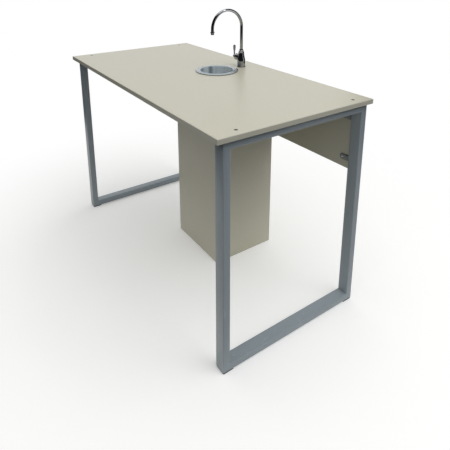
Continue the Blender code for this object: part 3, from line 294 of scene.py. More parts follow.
def steel(name, colour, bowl=0.0):
    """Stainless steel, turned and polished round the sink's axis, satin within a bowl's radius, with reflections
    painted there as light and dark streaks.
    """
    made = Finish(name, metallic=1.0)
    level = made.place(SINK_CENTRE, LEVEL)
    reach = made.vector("LENGTH", level, output=1)
    rings = made.noise(1.0, 3.0, made.node("ShaderNodeCombineXYZ", None, (reach * 2600.0, 0.0, 0.0)))
    lines = made.noise(1.0, 3.0, made.place(stretch=(18.0, 18.0, 2200.0)))
    cloud = made.noise(24.0, 4.0)
    brushed = 0.5 * rings + 0.5 * lines
    shade = made.shades(0.5 * brushed + 0.5 * cloud, colour, 0.04)
    rough = STEEL_GLOSS + 0.12 * brushed
    if bowl:
        inside = reach.below(bowl, 0.0006)
        # Painted reflection: light and dark streaks round the bowl's wall stand in for the lamps' reflections in it.
        way = made.vector("ADD", made.vector("NORMALIZE", level), BOWL_PAINTED_STREAK_OFFSET)
        drawn = made.noise(1.7, 2.0, way).below(0.5, 0.16)
        satin = made.blend(drawn, BOWL_PAINTED_HIGHLIGHT, BOWL_PAINTED_DARK_REFLECTION)
        shade = made.blend(inside, shade, made.blend(brushed * 0.3, satin, BOWL_SCRATCH))
        rough = rough + 0.14 * inside
        made.set("Metallic", 0.6 - 0.35 * inside)
    made.set("Base Color", shade)
    made.set("Roughness", rough)
    made.bump(brushed, 0.000008)
    return made.material


def bright(name, colour, roughness):
    """Plated metal, nearly even, with faint wiping marks in its gloss."""
    made = Finish(name, metallic=1.0)
    cloud = made.noise(70.0, 5.0)
    wipes = made.noise(160.0, 4.0, made.place(stretch=(1.0, 1.0, 0.15)))
    made.set("Base Color", made.shades(cloud, colour, 0.03))
    made.set("Roughness", roughness + 0.05 * wipes)
    made.bump(cloud, 0.0000004)
    return made.material


def plated(name, share=1.0):
    """Zinc plating with its grainy clouds, darkened to a share."""
    made = Finish(name, metallic=1.0)
    cloud = made.noise(400.0, 4.0)
    tint = made.noise(90.0, 3.0)
    first, second = ((*[value * share for value in colour[:3]], 1.0)
                     for colour in (tone(176, 178, 176), tone(196, 194, 180)))
    made.set("Base Color", made.blend(tint, first, second))
    made.set("Roughness", 0.28 + 0.2 * cloud)
    made.bump(cloud, 0.00002)
    return made.material


def brass(name, pitch=0.0):
    """Machined brass, with a thread's relief along the vertical and painted shade in its grooves where a pitch is
    given.
    """
    made = Finish(name, metallic=1.0)
    cloud = made.noise(140.0, 4.0)
    colour = made.shades(cloud, tone(206, 172, 104), 0.08)
    relief = cloud * 0.05
    if pitch:
        rise = made.axes(made.place())[2]
        wave = (rise * (2 * pi / pitch)).calc("SINE") * 0.5 + 0.5
        relief = wave + relief
        # Painted shade: the thread's grooves are darker.
        colour = made.blend(wave, tone(150, 118, 62), colour)
    made.set("Base Color", colour)
    made.set("Roughness", 0.24 + 0.14 * cloud)
    made.bump(relief, 0.0003 if pitch else 0.00002)
    return made.material


def plastic(name, colour, roughness):
    """Moulded plastic with a faint texture and softly uneven gloss."""
    made = Finish(name)
    cloud = made.noise(35.0, 4.0)
    grain = made.noise(1100.0, 2.0)
    made.set("Base Color", made.shades(0.7 * cloud + 0.3 * grain, colour, 0.05))
    made.set("Roughness", roughness - 0.04 + 0.1 * cloud)
    made.bump(grain, 0.00003)
    return made.material


def rubber(name):
    """Black rubber with a little dust."""
    made = Finish(name)
    dust = made.noise(300.0, 4.0)
    made.set("Base Color", made.blend(dust, tone(24, 24, 25), tone(44, 43, 42)))
    made.set("Roughness", 0.65 + 0.2 * dust)
    made.bump(dust, 0.00004)
    return made.material


def timber(name, along):
    """Planed beech whose grain runs along one axis, with its short dark flecks."""
    made = Finish(name)
    stretch = [0.12 if axis == along else 1.0 for axis in "XYZ"]
    flecked = [0.3 if axis == along else 1.6 for axis in "XYZ"]
    fibre = made.noise(260.0, 5.0, made.place(stretch=stretch))
    wave = made.noise(40.0, 3.0, made.place(stretch=stretch))
    fleck = 1 - made.noise(420.0, 2.0, made.place(stretch=flecked)).below(0.66, 0.06)
    colour = made.blend(0.6 * fibre + 0.4 * wave, tone(176, 130, 88), tone(212, 172, 128))
    made.set("Base Color", made.blend(fleck * 0.5, colour, tone(128, 84, 52)))
    made.set("Roughness", 0.5 + 0.2 * fibre)
    made.bump(fibre, 0.00008)
    return made.material


def screen(name, centre):
    """Fine wire mesh of the aerator, with painted shade in the openings between its wires."""
    made = Finish(name, metallic=0.8, roughness=0.4)
    across, down, _ = made.axes(made.place(centre, (5200.0, 5200.0, 1.0)))
    weave = across.calc("SINE").calc("MAXIMUM", down.calc("SINE"))
    # Painted shade: the openings between the wires are dark.
    made.set("Base Color", made.blend(weave.below(0.55, 0.3), tone(190, 192, 194), tone(20, 20, 22)))
    made.bump(weave, 0.0001)
    return made.material


FINISHES = {
    "enamel": enamel("grey_enamel", tone(141, 152, 159)),
    "rim": steel("stainless_steel_sink", tone(158, 168, 172), BOWL + 0.0012),
    "drain": steel("drain_steel", tone(196, 201, 205)),
    "chrome": bright("chrome", tone(178, 180, 183), 0.03),
    # The lugs get the frame's enamel darkened as painted shade, as they stand in the shadow under the worktop.
    "lug": enamel("lug_enamel_painted_shade", tone(108, 115, 113), False),
    "satin": bright("satin_chrome", tone(214, 217, 219), 0.24),
    "zinc": plated("zinc_plate"),
    "burnished": plated("burnished_zinc", 0.18),
    "brass": brass("brass"),
    "thread": brass("threaded_brass", 0.0014),
    "white": plastic("white_polypropylene", tone(226, 227, 222), 0.38),
    "black": plastic("black_plastic", tone(34, 34, 36), 0.42),
    "rubber": rubber("black_rubber"),
}


# Modelling helpers


def start(name, primitive, **settings):
    """A new primitive in edit mode under its own name, with nothing else selected."""
    bpy.ops.object.select_all(action="DESELECT")
    primitive(**settings)
    piece = bpy.context.object
    piece.name = name
    piece.data.name = name
    bpy.ops.object.mode_set(mode="EDIT")
    bpy.ops.mesh.select_mode(type="VERT")
    bpy.ops.mesh.select_all(action="SELECT")
    return piece


def block(name, size, middle=ORIGIN):
    """A cuboid in edit mode, its corners moved out to its size."""
    piece = start(name, bpy.ops.mesh.primitive_cube_add, size=1.0, location=middle)
    bpy.ops.transform.resize(value=size, center_override=middle)
    return piece


def choose(piece, kind, test):
    """Select the faces or edges of a piece in edit mode whose middle and direction pass a test."""
    bpy.ops.mesh.select_mode(type=kind)
    bpy.ops.mesh.select_all(action="DESELECT")
    bpy.ops.object.mode_set(mode="OBJECT")
    corners = piece.data.vertices
    if kind == "FACE":
        for face in piece.data.polygons:
            face.select = bool(test(piece.matrix_world @ face.center, face.normal))
    else:
        for edge in piece.data.edges:
            near, far = (piece.matrix_world @ corners[index].co for index in edge.vertices)
            edge.select = bool(test((near + far) / 2, (far - near).normalized()))
    bpy.ops.object.mode_set(mode="EDIT")


def push(step):
    """In edit mode, extrude what is selected by a step."""
    bpy.ops.mesh.extrude_region_move(TRANSFORM_OT_translate={"value": step})


def turn_out(weld=0.0):
    """In edit mode, join points closer than a distance, if one is given, and turn all faces outwards."""
    bpy.ops.mesh.select_all(action="SELECT")
    if weld:
        bpy.ops.mesh.remove_doubles(threshold=weld)
    bpy.ops.mesh.normals_make_consistent(inside=False)


def only(piece):
    """Leave edit mode with one piece selected and active."""
    if bpy.context.mode != "OBJECT":
        bpy.ops.object.mode_set(mode="OBJECT")
    bpy.ops.object.select_all(action="DESELECT")
    piece.select_set(True)
    bpy.context.view_layer.objects.active = piece


def settle(piece):
    """Put a piece's place, turn and scale into its mesh."""
    only(piece)
    bpy.ops.object.transform_apply(location=True, rotation=True, scale=True)


def modify(piece, kind, **settings):
    """Add a modifier and apply it."""
    only(piece)
    bpy.ops.object.modifier_add(type=kind)
    modifier = piece.modifiers[-1]
    for name, setting in settings.items():
        setattr(modifier, name, setting)
    bpy.ops.object.modifier_apply(modifier=modifier.name)


def soften(piece, width, angle=34):
    """Round the edges that are sharper than an angle in degrees."""
    modify(piece, "BEVEL", width=width, segments=2, limit_method="ANGLE", angle_limit=radians(angle))


def carve(piece, tool, operation="DIFFERENCE"):
    """Cut a shape out of a piece, or join it on, and drop the shape."""
    modify(piece, "BOOLEAN", operation=operation, object=tool, solver="EXACT")
    bpy.data.objects.remove(tool)
    bpy.ops.object.mode_set(mode="EDIT")
    bpy.ops.mesh.select_all(action="SELECT")
    bpy.ops.mesh.remove_doubles(threshold=3 * WELD)
    bpy.ops.mesh.dissolve_degenerate(threshold=WELD)
    bpy.ops.object.mode_set(mode="OBJECT")


def lathe(name, profile, at=ORIGIN, axis=UP, sides=64):
    """A profile of (radius, height) drawn by extruding a point, and spun round an axis."""
    axis = Vector(axis)
    out = Vector((0.0, 1.0, 0.0)) if abs(axis.x) > 0.5 else Vector((1.0, 0.0, 0.0))
    points = [Vector(at) + out * radius + axis * height for radius, height in profile]
    piece = start(name, bpy.ops.mesh.primitive_circle_add, vertices=3, radius=0.001, location=points[0])
    bpy.ops.mesh.merge(type="CENTER")
    for near, far in zip(points, points[1:]):
        bpy.ops.mesh.extrude_vertices_move(TRANSFORM_OT_translate={"value": far - near})
    bpy.ops.mesh.select_all(action="SELECT")
    bpy.ops.mesh.spin(steps=sides, angle=2 * pi, center=at, axis=axis)
    turn_out(WELD)
    bpy.ops.object.mode_set(mode="OBJECT")
    return piece


def loft(name, sections, sides=20):
    """Rings of (centre, half width in X, half width in Y), each extruded from the last and resized."""
    middle, half_x, half_y = sections[0]
    piece = start(name, bpy.ops.mesh.primitive_circle_add, vertices=sides, radius=1.0, fill_type="NGON",
                  location=middle)
    bpy.ops.transform.resize(value=(half_x, half_y, 1.0), center_override=middle)
    for (low, old_x, old_y), (high, new_x, new_y) in zip(sections, sections[1:]):
        push(Vector(high) - Vector(low))
        bpy.ops.transform.resize(value=(new_x / old_x, new_y / old_y, 1.0), center_override=high)
    turn_out()
    bpy.ops.object.mode_set(mode="OBJECT")
    return piece


def close_pipe(pipe, wall):
    """Join a pipe's rings, turn it outwards and give it its wall."""
    turn_out(WELD)
    modify(pipe, "SOLIDIFY", thickness=wall, offset=-1.0)


def arc(middle, radius, first, last, steps):
    """Points of an arc, its angles in degrees."""
    turns = [radians(first + (last - first) * step / steps) for step in range(steps + 1)]
    return [(middle[0] + radius * cos(turn), middle[1] + radius * sin(turn)) for turn in turns]


def loop(profile):
    """A profile that ends where it starts."""
    return profile + profile[:1]


def every_other(normal, sides):
    """True for every other side face of an upright prism, told by where the face looks."""
    share = Vector((1, 0)).angle_signed(normal.xy) / (2 * pi)
    return round(share * sides - 0.5) % 2 == 0


def keep(piece, finish, body="table", replaces=(), angle=32):
    """Finish a piece: place in its mesh, shading, material and body."""
    settle(piece)
    bpy.ops.object.shade_smooth_by_angle(angle=radians(angle))
    piece.data.materials.clear()
    piece.data.materials.append(FINISHES[finish] if isinstance(finish, str) else finish)
    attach(piece, body)
    if replaces:
        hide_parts(*replaces)


def twin(piece, name, matrix):
    """Another piece of the same shape with its own mesh, set at a place."""
    made = piece.copy()
    made.data = piece.data.copy()
    made.name = name
    made.data.name = name
    bpy.context.scene.collection.objects.link(made)
    made.matrix_world = matrix @ piece.matrix_world
    return made


def drop(*masters):
    """Remove the pieces that were only there to be copied."""
    for master in masters:
        bpy.data.objects.remove(master)


def centre(node):
    """Middle of a CAD node's box."""
    low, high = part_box(node)
    return (low.x + high.x) / 2, (low.y + high.y) / 2, (low.z + high.z) / 2


def heights(node):
    """Lowest and highest level of a CAD node, counted from the worktop's face."""
    low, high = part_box(node)
    return low.z - TOP, high.z - TOP


# Finishes of the CAD nodes that stay


def paint(node, material):
    """Give a CAD node its material."""
    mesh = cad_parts[node].data
    mesh.materials.clear()
    mesh.materials.append(material)


def dress_boards():
    """Boards with the axis across each, cleats with the axis of their grain, and the small plain parts."""
    flats = {"worktop": None, "modesty_panel": "Y", "pedestal_front_panel": "Y", "pedestal_service_panel": "Y",
             "pedestal_left_panel": "X", "pedestal_right_panel": "X"}
    for node, flat in flats.items():
        paint(node, laminate(node + "_laminate", node if flat else None, flat))
    paint("worktop_edge_band", edging("edge_band"))
    for node, along in (("left_top_cleat", "Y"), ("right_top_cleat", "Y"), ("left_service_cleat", "Z"),
                        ("right_service_cleat", "Z")):
        paint(node, timber(node + "_beech", along))
    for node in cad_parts:
        if node.endswith("_glide"):
            paint(node, FINISHES["black"])
    paint("valve_stem", FINISHES["brass"])
    paint("spout_bush", FINISHES["white"])


# End frames, their lugs and the screws


def build_end_frame(side_name):
    """Welded loop of rectangular tube: a plane inset to a ring, extruded across and rounded."""
    names = [side_name + end for end in ("_front_leg", "_back_leg", "_head_rail", "_foot_rail")]
    boxes = [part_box(name) for name in names]
    front, bottom = min(low.y for low, _ in boxes), min(low.z for low, _ in boxes)
    back, top = max(high.y for _, high in boxes), max(high.z for _, high in boxes)
    middle = (boxes[0][0].x, (front + back) / 2, (bottom + top) / 2)
    piece = start(side_name + "_end_frame", bpy.ops.mesh.primitive_plane_add, size=1.0, location=middle,
                  rotation=(0.0, pi / 2, 0.0))
    bpy.ops.transform.resize(value=(1.0, back - front, top - bottom), center_override=middle)
    bpy.ops.mesh.inset(thickness=TUBE[1])
    bpy.ops.mesh.delete(type="FACE")
    bpy.ops.mesh.select_all(action="SELECT")
    push((TUBE[0], 0.0, 0.0))
    turn_out()
    choose(piece, "EDGE", lambda middle, run: max(abs(run.y), abs(run.z)) > 0.9)
    bpy.ops.mesh.bevel(offset=TUBE_CORNER, segments=5, affect="EDGES")
    soften(piece, 0.0006, 50)
    keep(piece, "enamel", replaces=names)


def ripple(radius, length, waves):
    """Profile of a weld bead: a thin rod with closed ends and a wavy side."""
    steps = waves * 4
    line = [(0.0, -length / 2)]
    for step in range(steps + 1):
        swell = radius * (0.86 + 0.14 * cos(2 * pi * waves * step / steps))
        line.append((swell, length * (step / steps - 0.5)))
    return line + [(0.0, length / 2)]


def build_frame_welds():
    """Small beads in the inner corners of the frames."""
    bead = lathe("bead", ripple(0.0011, TUBE[0] - 0.008, 14), sides=14)
    for side_name in ("left", "right"):
        low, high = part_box(side_name + "_foot_rail")
        head_low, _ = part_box(side_name + "_head_rail")
        for end, row in (("front", low.y + TUBE[1]), ("back", high.y - TUBE[1])):
            for level, height in (("lower", high.z), ("upper", head_low.z)):
                place = Matrix.Translation(((low.x + high.x) / 2, row, height)) @ Matrix.Rotation(pi / 2, 4, "Y")
                keep(twin(bead, f"{side_name}_{end}_{level}_weld", place), "enamel")
    drop(bead)


def pan_head(name, length=0.0125):
    """Screw with a domed head and a cross recess, its head's underside at zero."""
    head, shank, tip = 0.0044, 0.0022, 0.0014
    brim, rise = 0.0004, 0.0021
    dome = [(head * cos(radians(turn)), brim + rise * sin(radians(turn))) for turn in (5, 20, 38, 56, 74)]
    line = [(0.0, -length), (tip, -length), (shank, 0.0012 - length), (shank, 0.0), (head, 0.0)]
    piece = lathe(name, line + dome + [(0.0, brim + rise)], sides=32)
    for depth, size in ((0.0010, (0.0048, 0.00090, 0.0032)), (0.0012, (0.00093, 0.0047, 0.0032))):
        slot = block("slot", size, (0.0, 0.0, depth + size[2] / 2))
        choose(slot, "FACE", lambda middle, normal: normal.z < -0.9)
        bpy.ops.transform.resize(value=(0.5, 0.5, 1.0), center_override=(0.0, 0.0, depth))
        carve(piece, slot)
    return piece


def build_lugs():
    """Tongues welded to the back legs, each with its bead of weld, and their screws."""
    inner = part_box("right_front_leg")[0].x
    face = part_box("modesty_panel")[0].y - GAP
    length, thickness, width = LUG
    tongue = block("lug", LUG)
    bpy.ops.transform.translate(value=(-length / 2, -thickness / 2, 0.0))
    choose(tongue, "EDGE", lambda middle, run: abs(run.y) > 0.9 and middle.x < -length / 2)
    bpy.ops.mesh.bevel(offset=width / 2 - 0.0002, segments=14, affect="EDGES")
    soften(tongue, 0.0005)
    hole, sink, deep = 0.0032, 0.0052, 0.006
    drill = lathe("hole", [(0.0, -0.001), (sink, -0.001), (hole, 0.0012), (hole, deep), (0.0, deep)],
                  (LUG_HOLE - length, -thickness, 0.0), BACK, 32)
    carve(tongue, drill)

    bead = lathe("bead", ripple(0.0012, width * 0.9, 9), sides=16)
    screw = pan_head("lug_screw_head", 0.0137)
    for side, side_name in ((-1, "left"), (1, "right")):
        mirror = Matrix.Scale(side, 4, (1, 0, 0))
        for level in ("lower", "upper"):
            name = side_name + "_" + level
            node = name + "_lug_screw"
            screw_x, _, middle_z = centre(node)
            root = Matrix.Translation((side * inner, face, middle_z))
            plate = twin(tongue, name + "_lug", root @ mirror)
            turn_mirrored(plate)
            keep(plate, "lug")
            seam = twin(bead, name + "_lug_weld", root @ Matrix.Translation((-side * 0.0004, -thickness, 0.0)))
            keep(seam, "lug")
            seat = Matrix.Translation((screw_x, face - thickness + 0.0006, middle_z))
            head = twin(screw, name + "_lug_screw_head", seat @ Matrix.Rotation(pi / 2, 4, "X"))
            keep(head, "zinc", replaces=[node])
    drop(tongue, bead, screw)


def turn_mirrored(piece):
    """Turn the faces of a mirrored piece outwards again."""
    settle(piece)
    bpy.ops.object.mode_set(mode="EDIT")
    turn_out()
    bpy.ops.object.mode_set(mode="OBJECT")


def build_worktop_screws():
    """Countersunk screws with a hexagon socket, set a little below the worktop."""
    shank, head, face = 0.003, 0.0057, -0.0005
    screw = lathe("worktop_screw_head", [(0.0, -0.030), (shank, -0.030), (shank, -0.0034), (head, -0.0007),
                                         (head, face), (0.0, face)], sides=40)
    socket = start("socket", bpy.ops.mesh.primitive_cylinder_add, vertices=6, radius=0.0024, depth=0.006,
                   location=ORIGIN, rotation=(0.0, 0.0, radians(4)))
    carve(screw, socket)
    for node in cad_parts:
        if node.startswith("worktop_screw_"):
            across, along, _ = centre(node)
            made = twin(screw, node.replace("screw", "bolt"), Matrix.Translation((across, along, TOP)))
            keep(made, "burnished", replaces=[node])
    drop(screw)


def build_pedestal_screws():
    """Service panel's screws outside, and the cleats' screws inside."""
    short = pan_head("cleat_screw_head")
    head_rise = 0.0026
    low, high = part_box("left_service_screw")
    long = pan_head("service_screw_head", high.y - low.y - head_rise)
    for side_name, quarter in (("left", pi / 2), ("right", -pi / 2)):
        node = side_name + "_service_screw"
        across, _, level = centre(node)
        place = Matrix.Translation((across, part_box(node)[1].y - head_rise, level))
        keep(twin(long, node + "_head", place @ Matrix.Rotation(-pi / 2, 4, "X")), "zinc", replaces=[node])
        turn = Matrix.Rotation(quarter, 4, "Y")
        low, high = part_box(side_name + "_service_cleat")
        inner = low.x if side_name == "right" else high.x
        for index, share in enumerate((0.08, 0.36, 0.64, 0.92)):
            seat = Matrix.Translation((inner, (low.y + high.y) / 2, low.z + (high.z - low.z) * share))
            keep(twin(short, f"{side_name}_cleat_screw_{index}", seat @ turn), "zinc")
        low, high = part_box(side_name + "_top_cleat")
        for index, share in enumerate((0.15, 0.5, 0.8)):
            seat = Matrix.Translation(((low.x + high.x) / 2, low.y + (high.y - low.y) * share, low.z))
            keep(twin(short, f"{side_name}_top_screw_{index}", seat @ Matrix.Rotation(pi, 4, "X")), "zinc")
    drop(short, long)


# Sink and waste, their heights counted from the worktop's face


def bowl_line(lift, lip, corner, floor):
    """One face of the pressed sheet from the rim's edge over the lip to the drain."""
    middle = (BOWL + LIP, LIP_CREST - LIP)
    line = [(RIM, lift - 0.0002), (RIM - 0.0006, lift + 0.0003), ((RIM + middle[0]) / 2, lift + 0.0007)]
    line += arc(middle, lip, 70, 180, 10)
    line += arc((BOWL - BOWL_TAPER - BOWL_CORNER, BOWL_TAPER - DEPTH + BOWL_CORNER), corner, 0, -86, 12)
    return line + [(DRAIN + 0.0085, floor), (DRAIN, floor)]


def build_sink():
    """Sheet basin with its rolled rim, on a thin gasket."""
    upper = bowl_line(0.0027, LIP, BOWL_CORNER, -DEPTH)
    lower = bowl_line(0.0027 - SHEET, LIP - SHEET, BOWL_CORNER + SHEET, -DEPTH - SHEET)
    bowl = lathe("sink_basin", loop(upper + lower[::-1]), SINK_CENTRE, sides=144)
    keep(bowl, "rim", replaces=["sink_bowl"], angle=50)
    inner, top = RIM - 0.008, 0.0012
    seal = [(inner, GAP), (RIM + 0.0001, GAP), (RIM + 0.0003, 0.0007), (RIM, top), (inner, top)]
    keep(lathe("rim_gasket", loop(seal), SINK_CENTRE, sides=96), "rubber", replaces=["sink_seal"])


def ring(name, inner, outer, low, high, finish, node, at=SINK_CENTRE, edge=0.0003):
    """Plain ring with softened edges."""
    piece = lathe(name, loop([(inner, low), (outer, low), (outer, high), (inner, high)]), at)
    if edge:
        soften(piece, edge)
    keep(piece, finish, replaces=[node])


def build_strainer():
    """Cup in the sink's floor with eight round holes."""
    floor = DRAIN_FLOOR
    bore, rim = 0.0028, GAP - DEPTH
    dish = DRAIN - 0.001
    lip, face = dish - 0.0012, rim + 0.0012
    outside = [(bore, floor), (dish - 0.0014, floor), (dish - 0.0004, floor + 0.0005), (dish, floor + 0.0018),
               (dish, rim), (DRAIN_FLANGE, rim), (DRAIN_FLANGE, rim + 0.0005), (DRAIN_FLANGE - 0.0012, face)]
    inside = [(dish + 0.0006, face), (dish - 0.0007, rim + 0.0008), (lip, rim - 0.0004), (lip, floor + 0.0028),
              (dish - 0.0018, floor + 0.0016), (dish - 0.0030, floor + 0.0012), (bore, floor + 0.0012)]
    cup = lathe("strainer_cup", loop(outside + inside), SINK_CENTRE, sides=96)
    circle = 0.0123
    for index in range(8):
        turn = 2 * pi * (index + 0.5) / 8
        middle = (circle * cos(turn), SINK_Y + circle * sin(turn), TOP + floor)
        punch = start("punch", bpy.ops.mesh.primitive_cylinder_add, vertices=24, radius=0.0032, depth=0.006,
                      location=middle, rotation=(0.0, 0.0, turn + radians(3)))
        carve(cup, punch)
    keep(cup, "drain", replaces=["drain_strainer"])


def build_drain():
    """Strainer, gasket and screw, and the waste's body with its cross bar and boss."""
    build_strainer()
    ring("waste_gasket", DRAIN, DRAIN_FLANGE, -0.1225, -0.1215, "rubber", "drain_seal")
    shank, head, tip = 0.0025, 0.0055, -0.0195
    line = [(0.0, tip), (shank, tip), (shank, 0.0), (head, 0.0), (head, 0.0012)]
    line += arc((head - 0.002, 0.0010), 0.002, 0, 90, 5) + [(0.0, 0.003)]
    screw = lathe("waste_screw", line, (0.0, SINK_Y, TOP + DRAIN_FLOOR + 0.0015), sides=40)
    slot = block("slot", (0.014, 0.0012, 0.0026), (0.0, SINK_Y, TOP + DRAIN_FLOOR + 0.0045))
    bpy.ops.transform.rotate(value=radians(25), orient_axis="Z", center_override=(0.0, SINK_Y, 0.0))
    carve(screw, slot)
    keep(screw, "drain", replaces=["drain_screw"])

    wall = DRAIN + 0.0025
    seat, neck, end = -0.1228, -0.134, -0.167
    body = lathe("waste_body", loop([
        (DRAIN, seat), (DRAIN_FLANGE, seat), (DRAIN_FLANGE, seat - 0.0025), (wall + 0.0004, -0.1276), (wall, -0.1285),
        (wall, neck), (SPIGOT, neck - 0.010), (SPIGOT, end), (PIPE, end), (PIPE, neck - 0.0098), (DRAIN, neck)]),
        SINK_CENTRE, sides=72)
    soften(body, 0.0005)
    carve(body, block("bar", (2 * DRAIN + 0.002, 0.006, 0.006), (0.0, SINK_Y, TOP - 0.131)), "UNION")
    bore, outer, low, high = 0.0028, 0.006, -0.144, -0.128
    boss = lathe("boss", loop([(bore, low), (outer, low), (outer, high), (bore, high)]), SINK_CENTRE, sides=32)
    carve(body, boss, "UNION")
    keep(body, "white", replaces=["drain_body"])


def ribbed_nut():
    """Slip nut on Z from zero up, its side raised into grip ribs."""
    height = 0.018
    nut = start("nut", bpy.ops.mesh.primitive_cylinder_add, vertices=GRIP_SIDES, radius=0.0229, depth=height,
                location=(0.0, 0.0, height / 2))
    choose(nut, "FACE", lambda middle, normal: abs(normal.z) < 0.5 and every_other(normal, GRIP_SIDES))
    bpy.ops.mesh.inset(thickness=0.0003, depth=0.0006, use_individual=True)
    only(nut)
    thread, web, end = SPIGOT + GAP, 0.003, height + 0.002
    bore = lathe("bore", [(0.0, -0.002), (PIPE + GAP, -0.002), (PIPE + GAP, web), (thread, web), (thread, end),
                          (0.0, end)], sides=GRIP_SIDES)
    carve(nut, bore)
    soften(nut, 0.0003, 50)
    return nut


def build_waste_nuts(port_z):
    """Three slip nuts of one shape: upright, upside down and facing the front."""
    nut = ribbed_nut()
    places = {
        "drain": ("waste", (0.0, SINK_Y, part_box("drain_nut")[0].z), 0.0),
        "trap_inlet": ("inlet", (0.0, SINK_Y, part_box("trap_inlet_nut")[1].z), pi),
        "trap_outlet": ("outlet", (0.0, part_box("trap_outlet_nut")[1].y, port_z), pi / 2),
    }
    for node, (name, seat, turn) in places.items():
        place = Matrix.Translation(seat) @ Matrix.Rotation(turn, 4, "X")
        keep(twin(nut, name + "_nut", place), "white", replaces=[node + "_nut"])
    drop(nut)


def build_trap(port_z):
    """Tailpiece, bottle with its outlet to the back, and the cup screwed on from below."""
    base, head = heights("trap_tailpiece")
    inner, collar = PIPE - 0.002, head - 0.0022
    tail = [(inner, head), (SPIGOT, head), (SPIGOT, collar), (PIPE, collar), (PIPE, base), (inner, base)]
    keep(lathe("tailpiece", loop(tail), SINK_CENTRE, sides=48), "white", replaces=["trap_tailpiece"])

    base, head = heights("trap_body")
    shoulder = head - 0.023
    outer, inner, round_off = 0.034, 0.0315, 0.006
    shell = [(inner, base), (outer, base), (outer, shoulder - 0.014)]
    shell += arc((outer - round_off, shoulder - 0.012), round_off, 0, 50, 5)
    shell += [(SPIGOT + 0.0015, shoulder - 0.0012), (SPIGOT, shoulder), (SPIGOT, head), (SPIGOT_BORE, head),
              (SPIGOT_BORE, shoulder - 0.0025), (inner, shoulder - 0.0155)]
    body = lathe("bottle_trap", loop(shell), SINK_CENTRE, sides=72)
    port_at = (0.0, SINK_Y, port_z)
    near, far = 0.0262, 0.057
    port = [(SPIGOT_BORE, near), (SPIGOT, near), (SPIGOT, far), (SPIGOT_BORE, far)]
    carve(body, lathe("port", loop(port), port_at, BACK, 50), "UNION")
    bore, near, far = SPIGOT_BORE - 0.0001, 0.0240, 0.058
    carve(body, lathe("bore", [(0.0, near), (bore, near), (bore, far), (0.0, far)], port_at, BACK, 46))
    keep(body, "white", replaces=["trap_body"])

    low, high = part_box("trap_cup")
    radius = (high.x - low.x) / 2
    base, lip = heights("trap_cup")
    floor, wall, round_off = base + 0.003, 0.0343, 0.004
    cup = [(0.0, base + 0.0012), (0.012, base), (radius - round_off, base)]
    cup += arc((radius - round_off, base + round_off), round_off, -90, 0, 6)
    cup += [(radius, lip), (wall, lip), (wall, floor), (0.0, floor)]
    piece = lathe("trap_bottle", cup, SINK_CENTRE, sides=GRIP_SIDES)

    def grip(middle, normal):
        outside = (middle.xy - Vector((0.0, SINK_Y))).length > radius - 0.0006
        return outside and abs(normal.z) < 0.05 and every_other(normal, GRIP_SIDES)

    bpy.ops.object.mode_set(mode="EDIT")
    choose(piece, "FACE", grip)
    bpy.ops.mesh.inset(thickness=0.0006, depth=-0.0006, use_individual=True)
    keep(piece, "white", replaces=["trap_cup"])


def build_waste_pipe(port_z):
    """Pipe that leaves the trap to the back, bends and runs down."""
    low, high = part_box("outlet_pipe")
    bend = 0.030
    turn_y = high.y - PIPE - bend
    pipe = start("waste_pipe", bpy.ops.mesh.primitive_circle_add, vertices=40, radius=PIPE,
                 location=(0.0, low.y, port_z), rotation=(pi / 2, 0.0, 0.0))
    push((0.0, turn_y - low.y, 0.0))
    bpy.ops.mesh.spin(steps=14, angle=pi / 2, center=(0.0, turn_y, port_z - bend), axis=RIGHT)
    push((0.0, 0.0, low.z - port_z + bend))
    close_pipe(pipe, 0.002)
    keep(pipe, "white", replaces=["outlet_pipe"])


# Tap


def build_tap_body():
    """Gasket, base ring, bell-shaped body and the gland on top."""
    _, rise = heights("tap_flange")
    ring("tap_gasket", TAP_BORE, 0.0177, GAP, 0.0011, "rubber", "tap_seal", TAP_FOOT, 0.0)
    foot, outer, edge = 0.0014, 0.0185, 0.0012
    flange = [(TAP_BORE, foot), (outer, foot), (outer, rise - edge - 0.0001)]
    flange += arc((outer - edge, rise - edge - 0.0001), edge, 0, 90, 5) + [(TAP_BORE, rise)]
    keep(lathe("tap_base_ring", loop(flange), TAP_FOOT, sides=72), "chrome", replaces=["tap_flange"])

    foot, top = heights("tap_body")
    wide, waist, slim, steps = 0.0165, 0.027, 0.0047, 24
    bell = top - foot - waist
    profile = [(TAP_BORE, foot), (wide - 0.0004, foot), (wide, foot + 0.0005)]
    for step in range(steps + 1):
        share = step / steps * (1 - 0.0012 / bell)
        profile.append((wide - slim * (1 - (1 - share) ** 1.8), foot + waist + bell * share))
    socket = 0.0082
    profile += [(0.0110, top - 0.0004), (0.0106, top), (socket, top), (socket, top - 0.002), (TAP_BORE, top - 0.002)]
    keep(lathe("tap_bell", loop(profile), TAP_FOOT, sides=96), "chrome", replaces=["tap_body"])

    inner, outer, round_off = 0.0063, 0.0100, 0.0026
    low = top + GAP
    _, high = heights("spout_gland")
    cap = [(inner, low), (outer - 0.0004, low), (outer, low + 0.0004), (outer, low + 0.0024)]
    cap += arc((outer - round_off, low + 0.0024), round_off, 10, 75, 6) + [(0.0076, high), (inner, high)]
    keep(lathe("tap_gland", loop(cap), TAP_FOOT, sides=72), "satin", replaces=["spout_gland"])


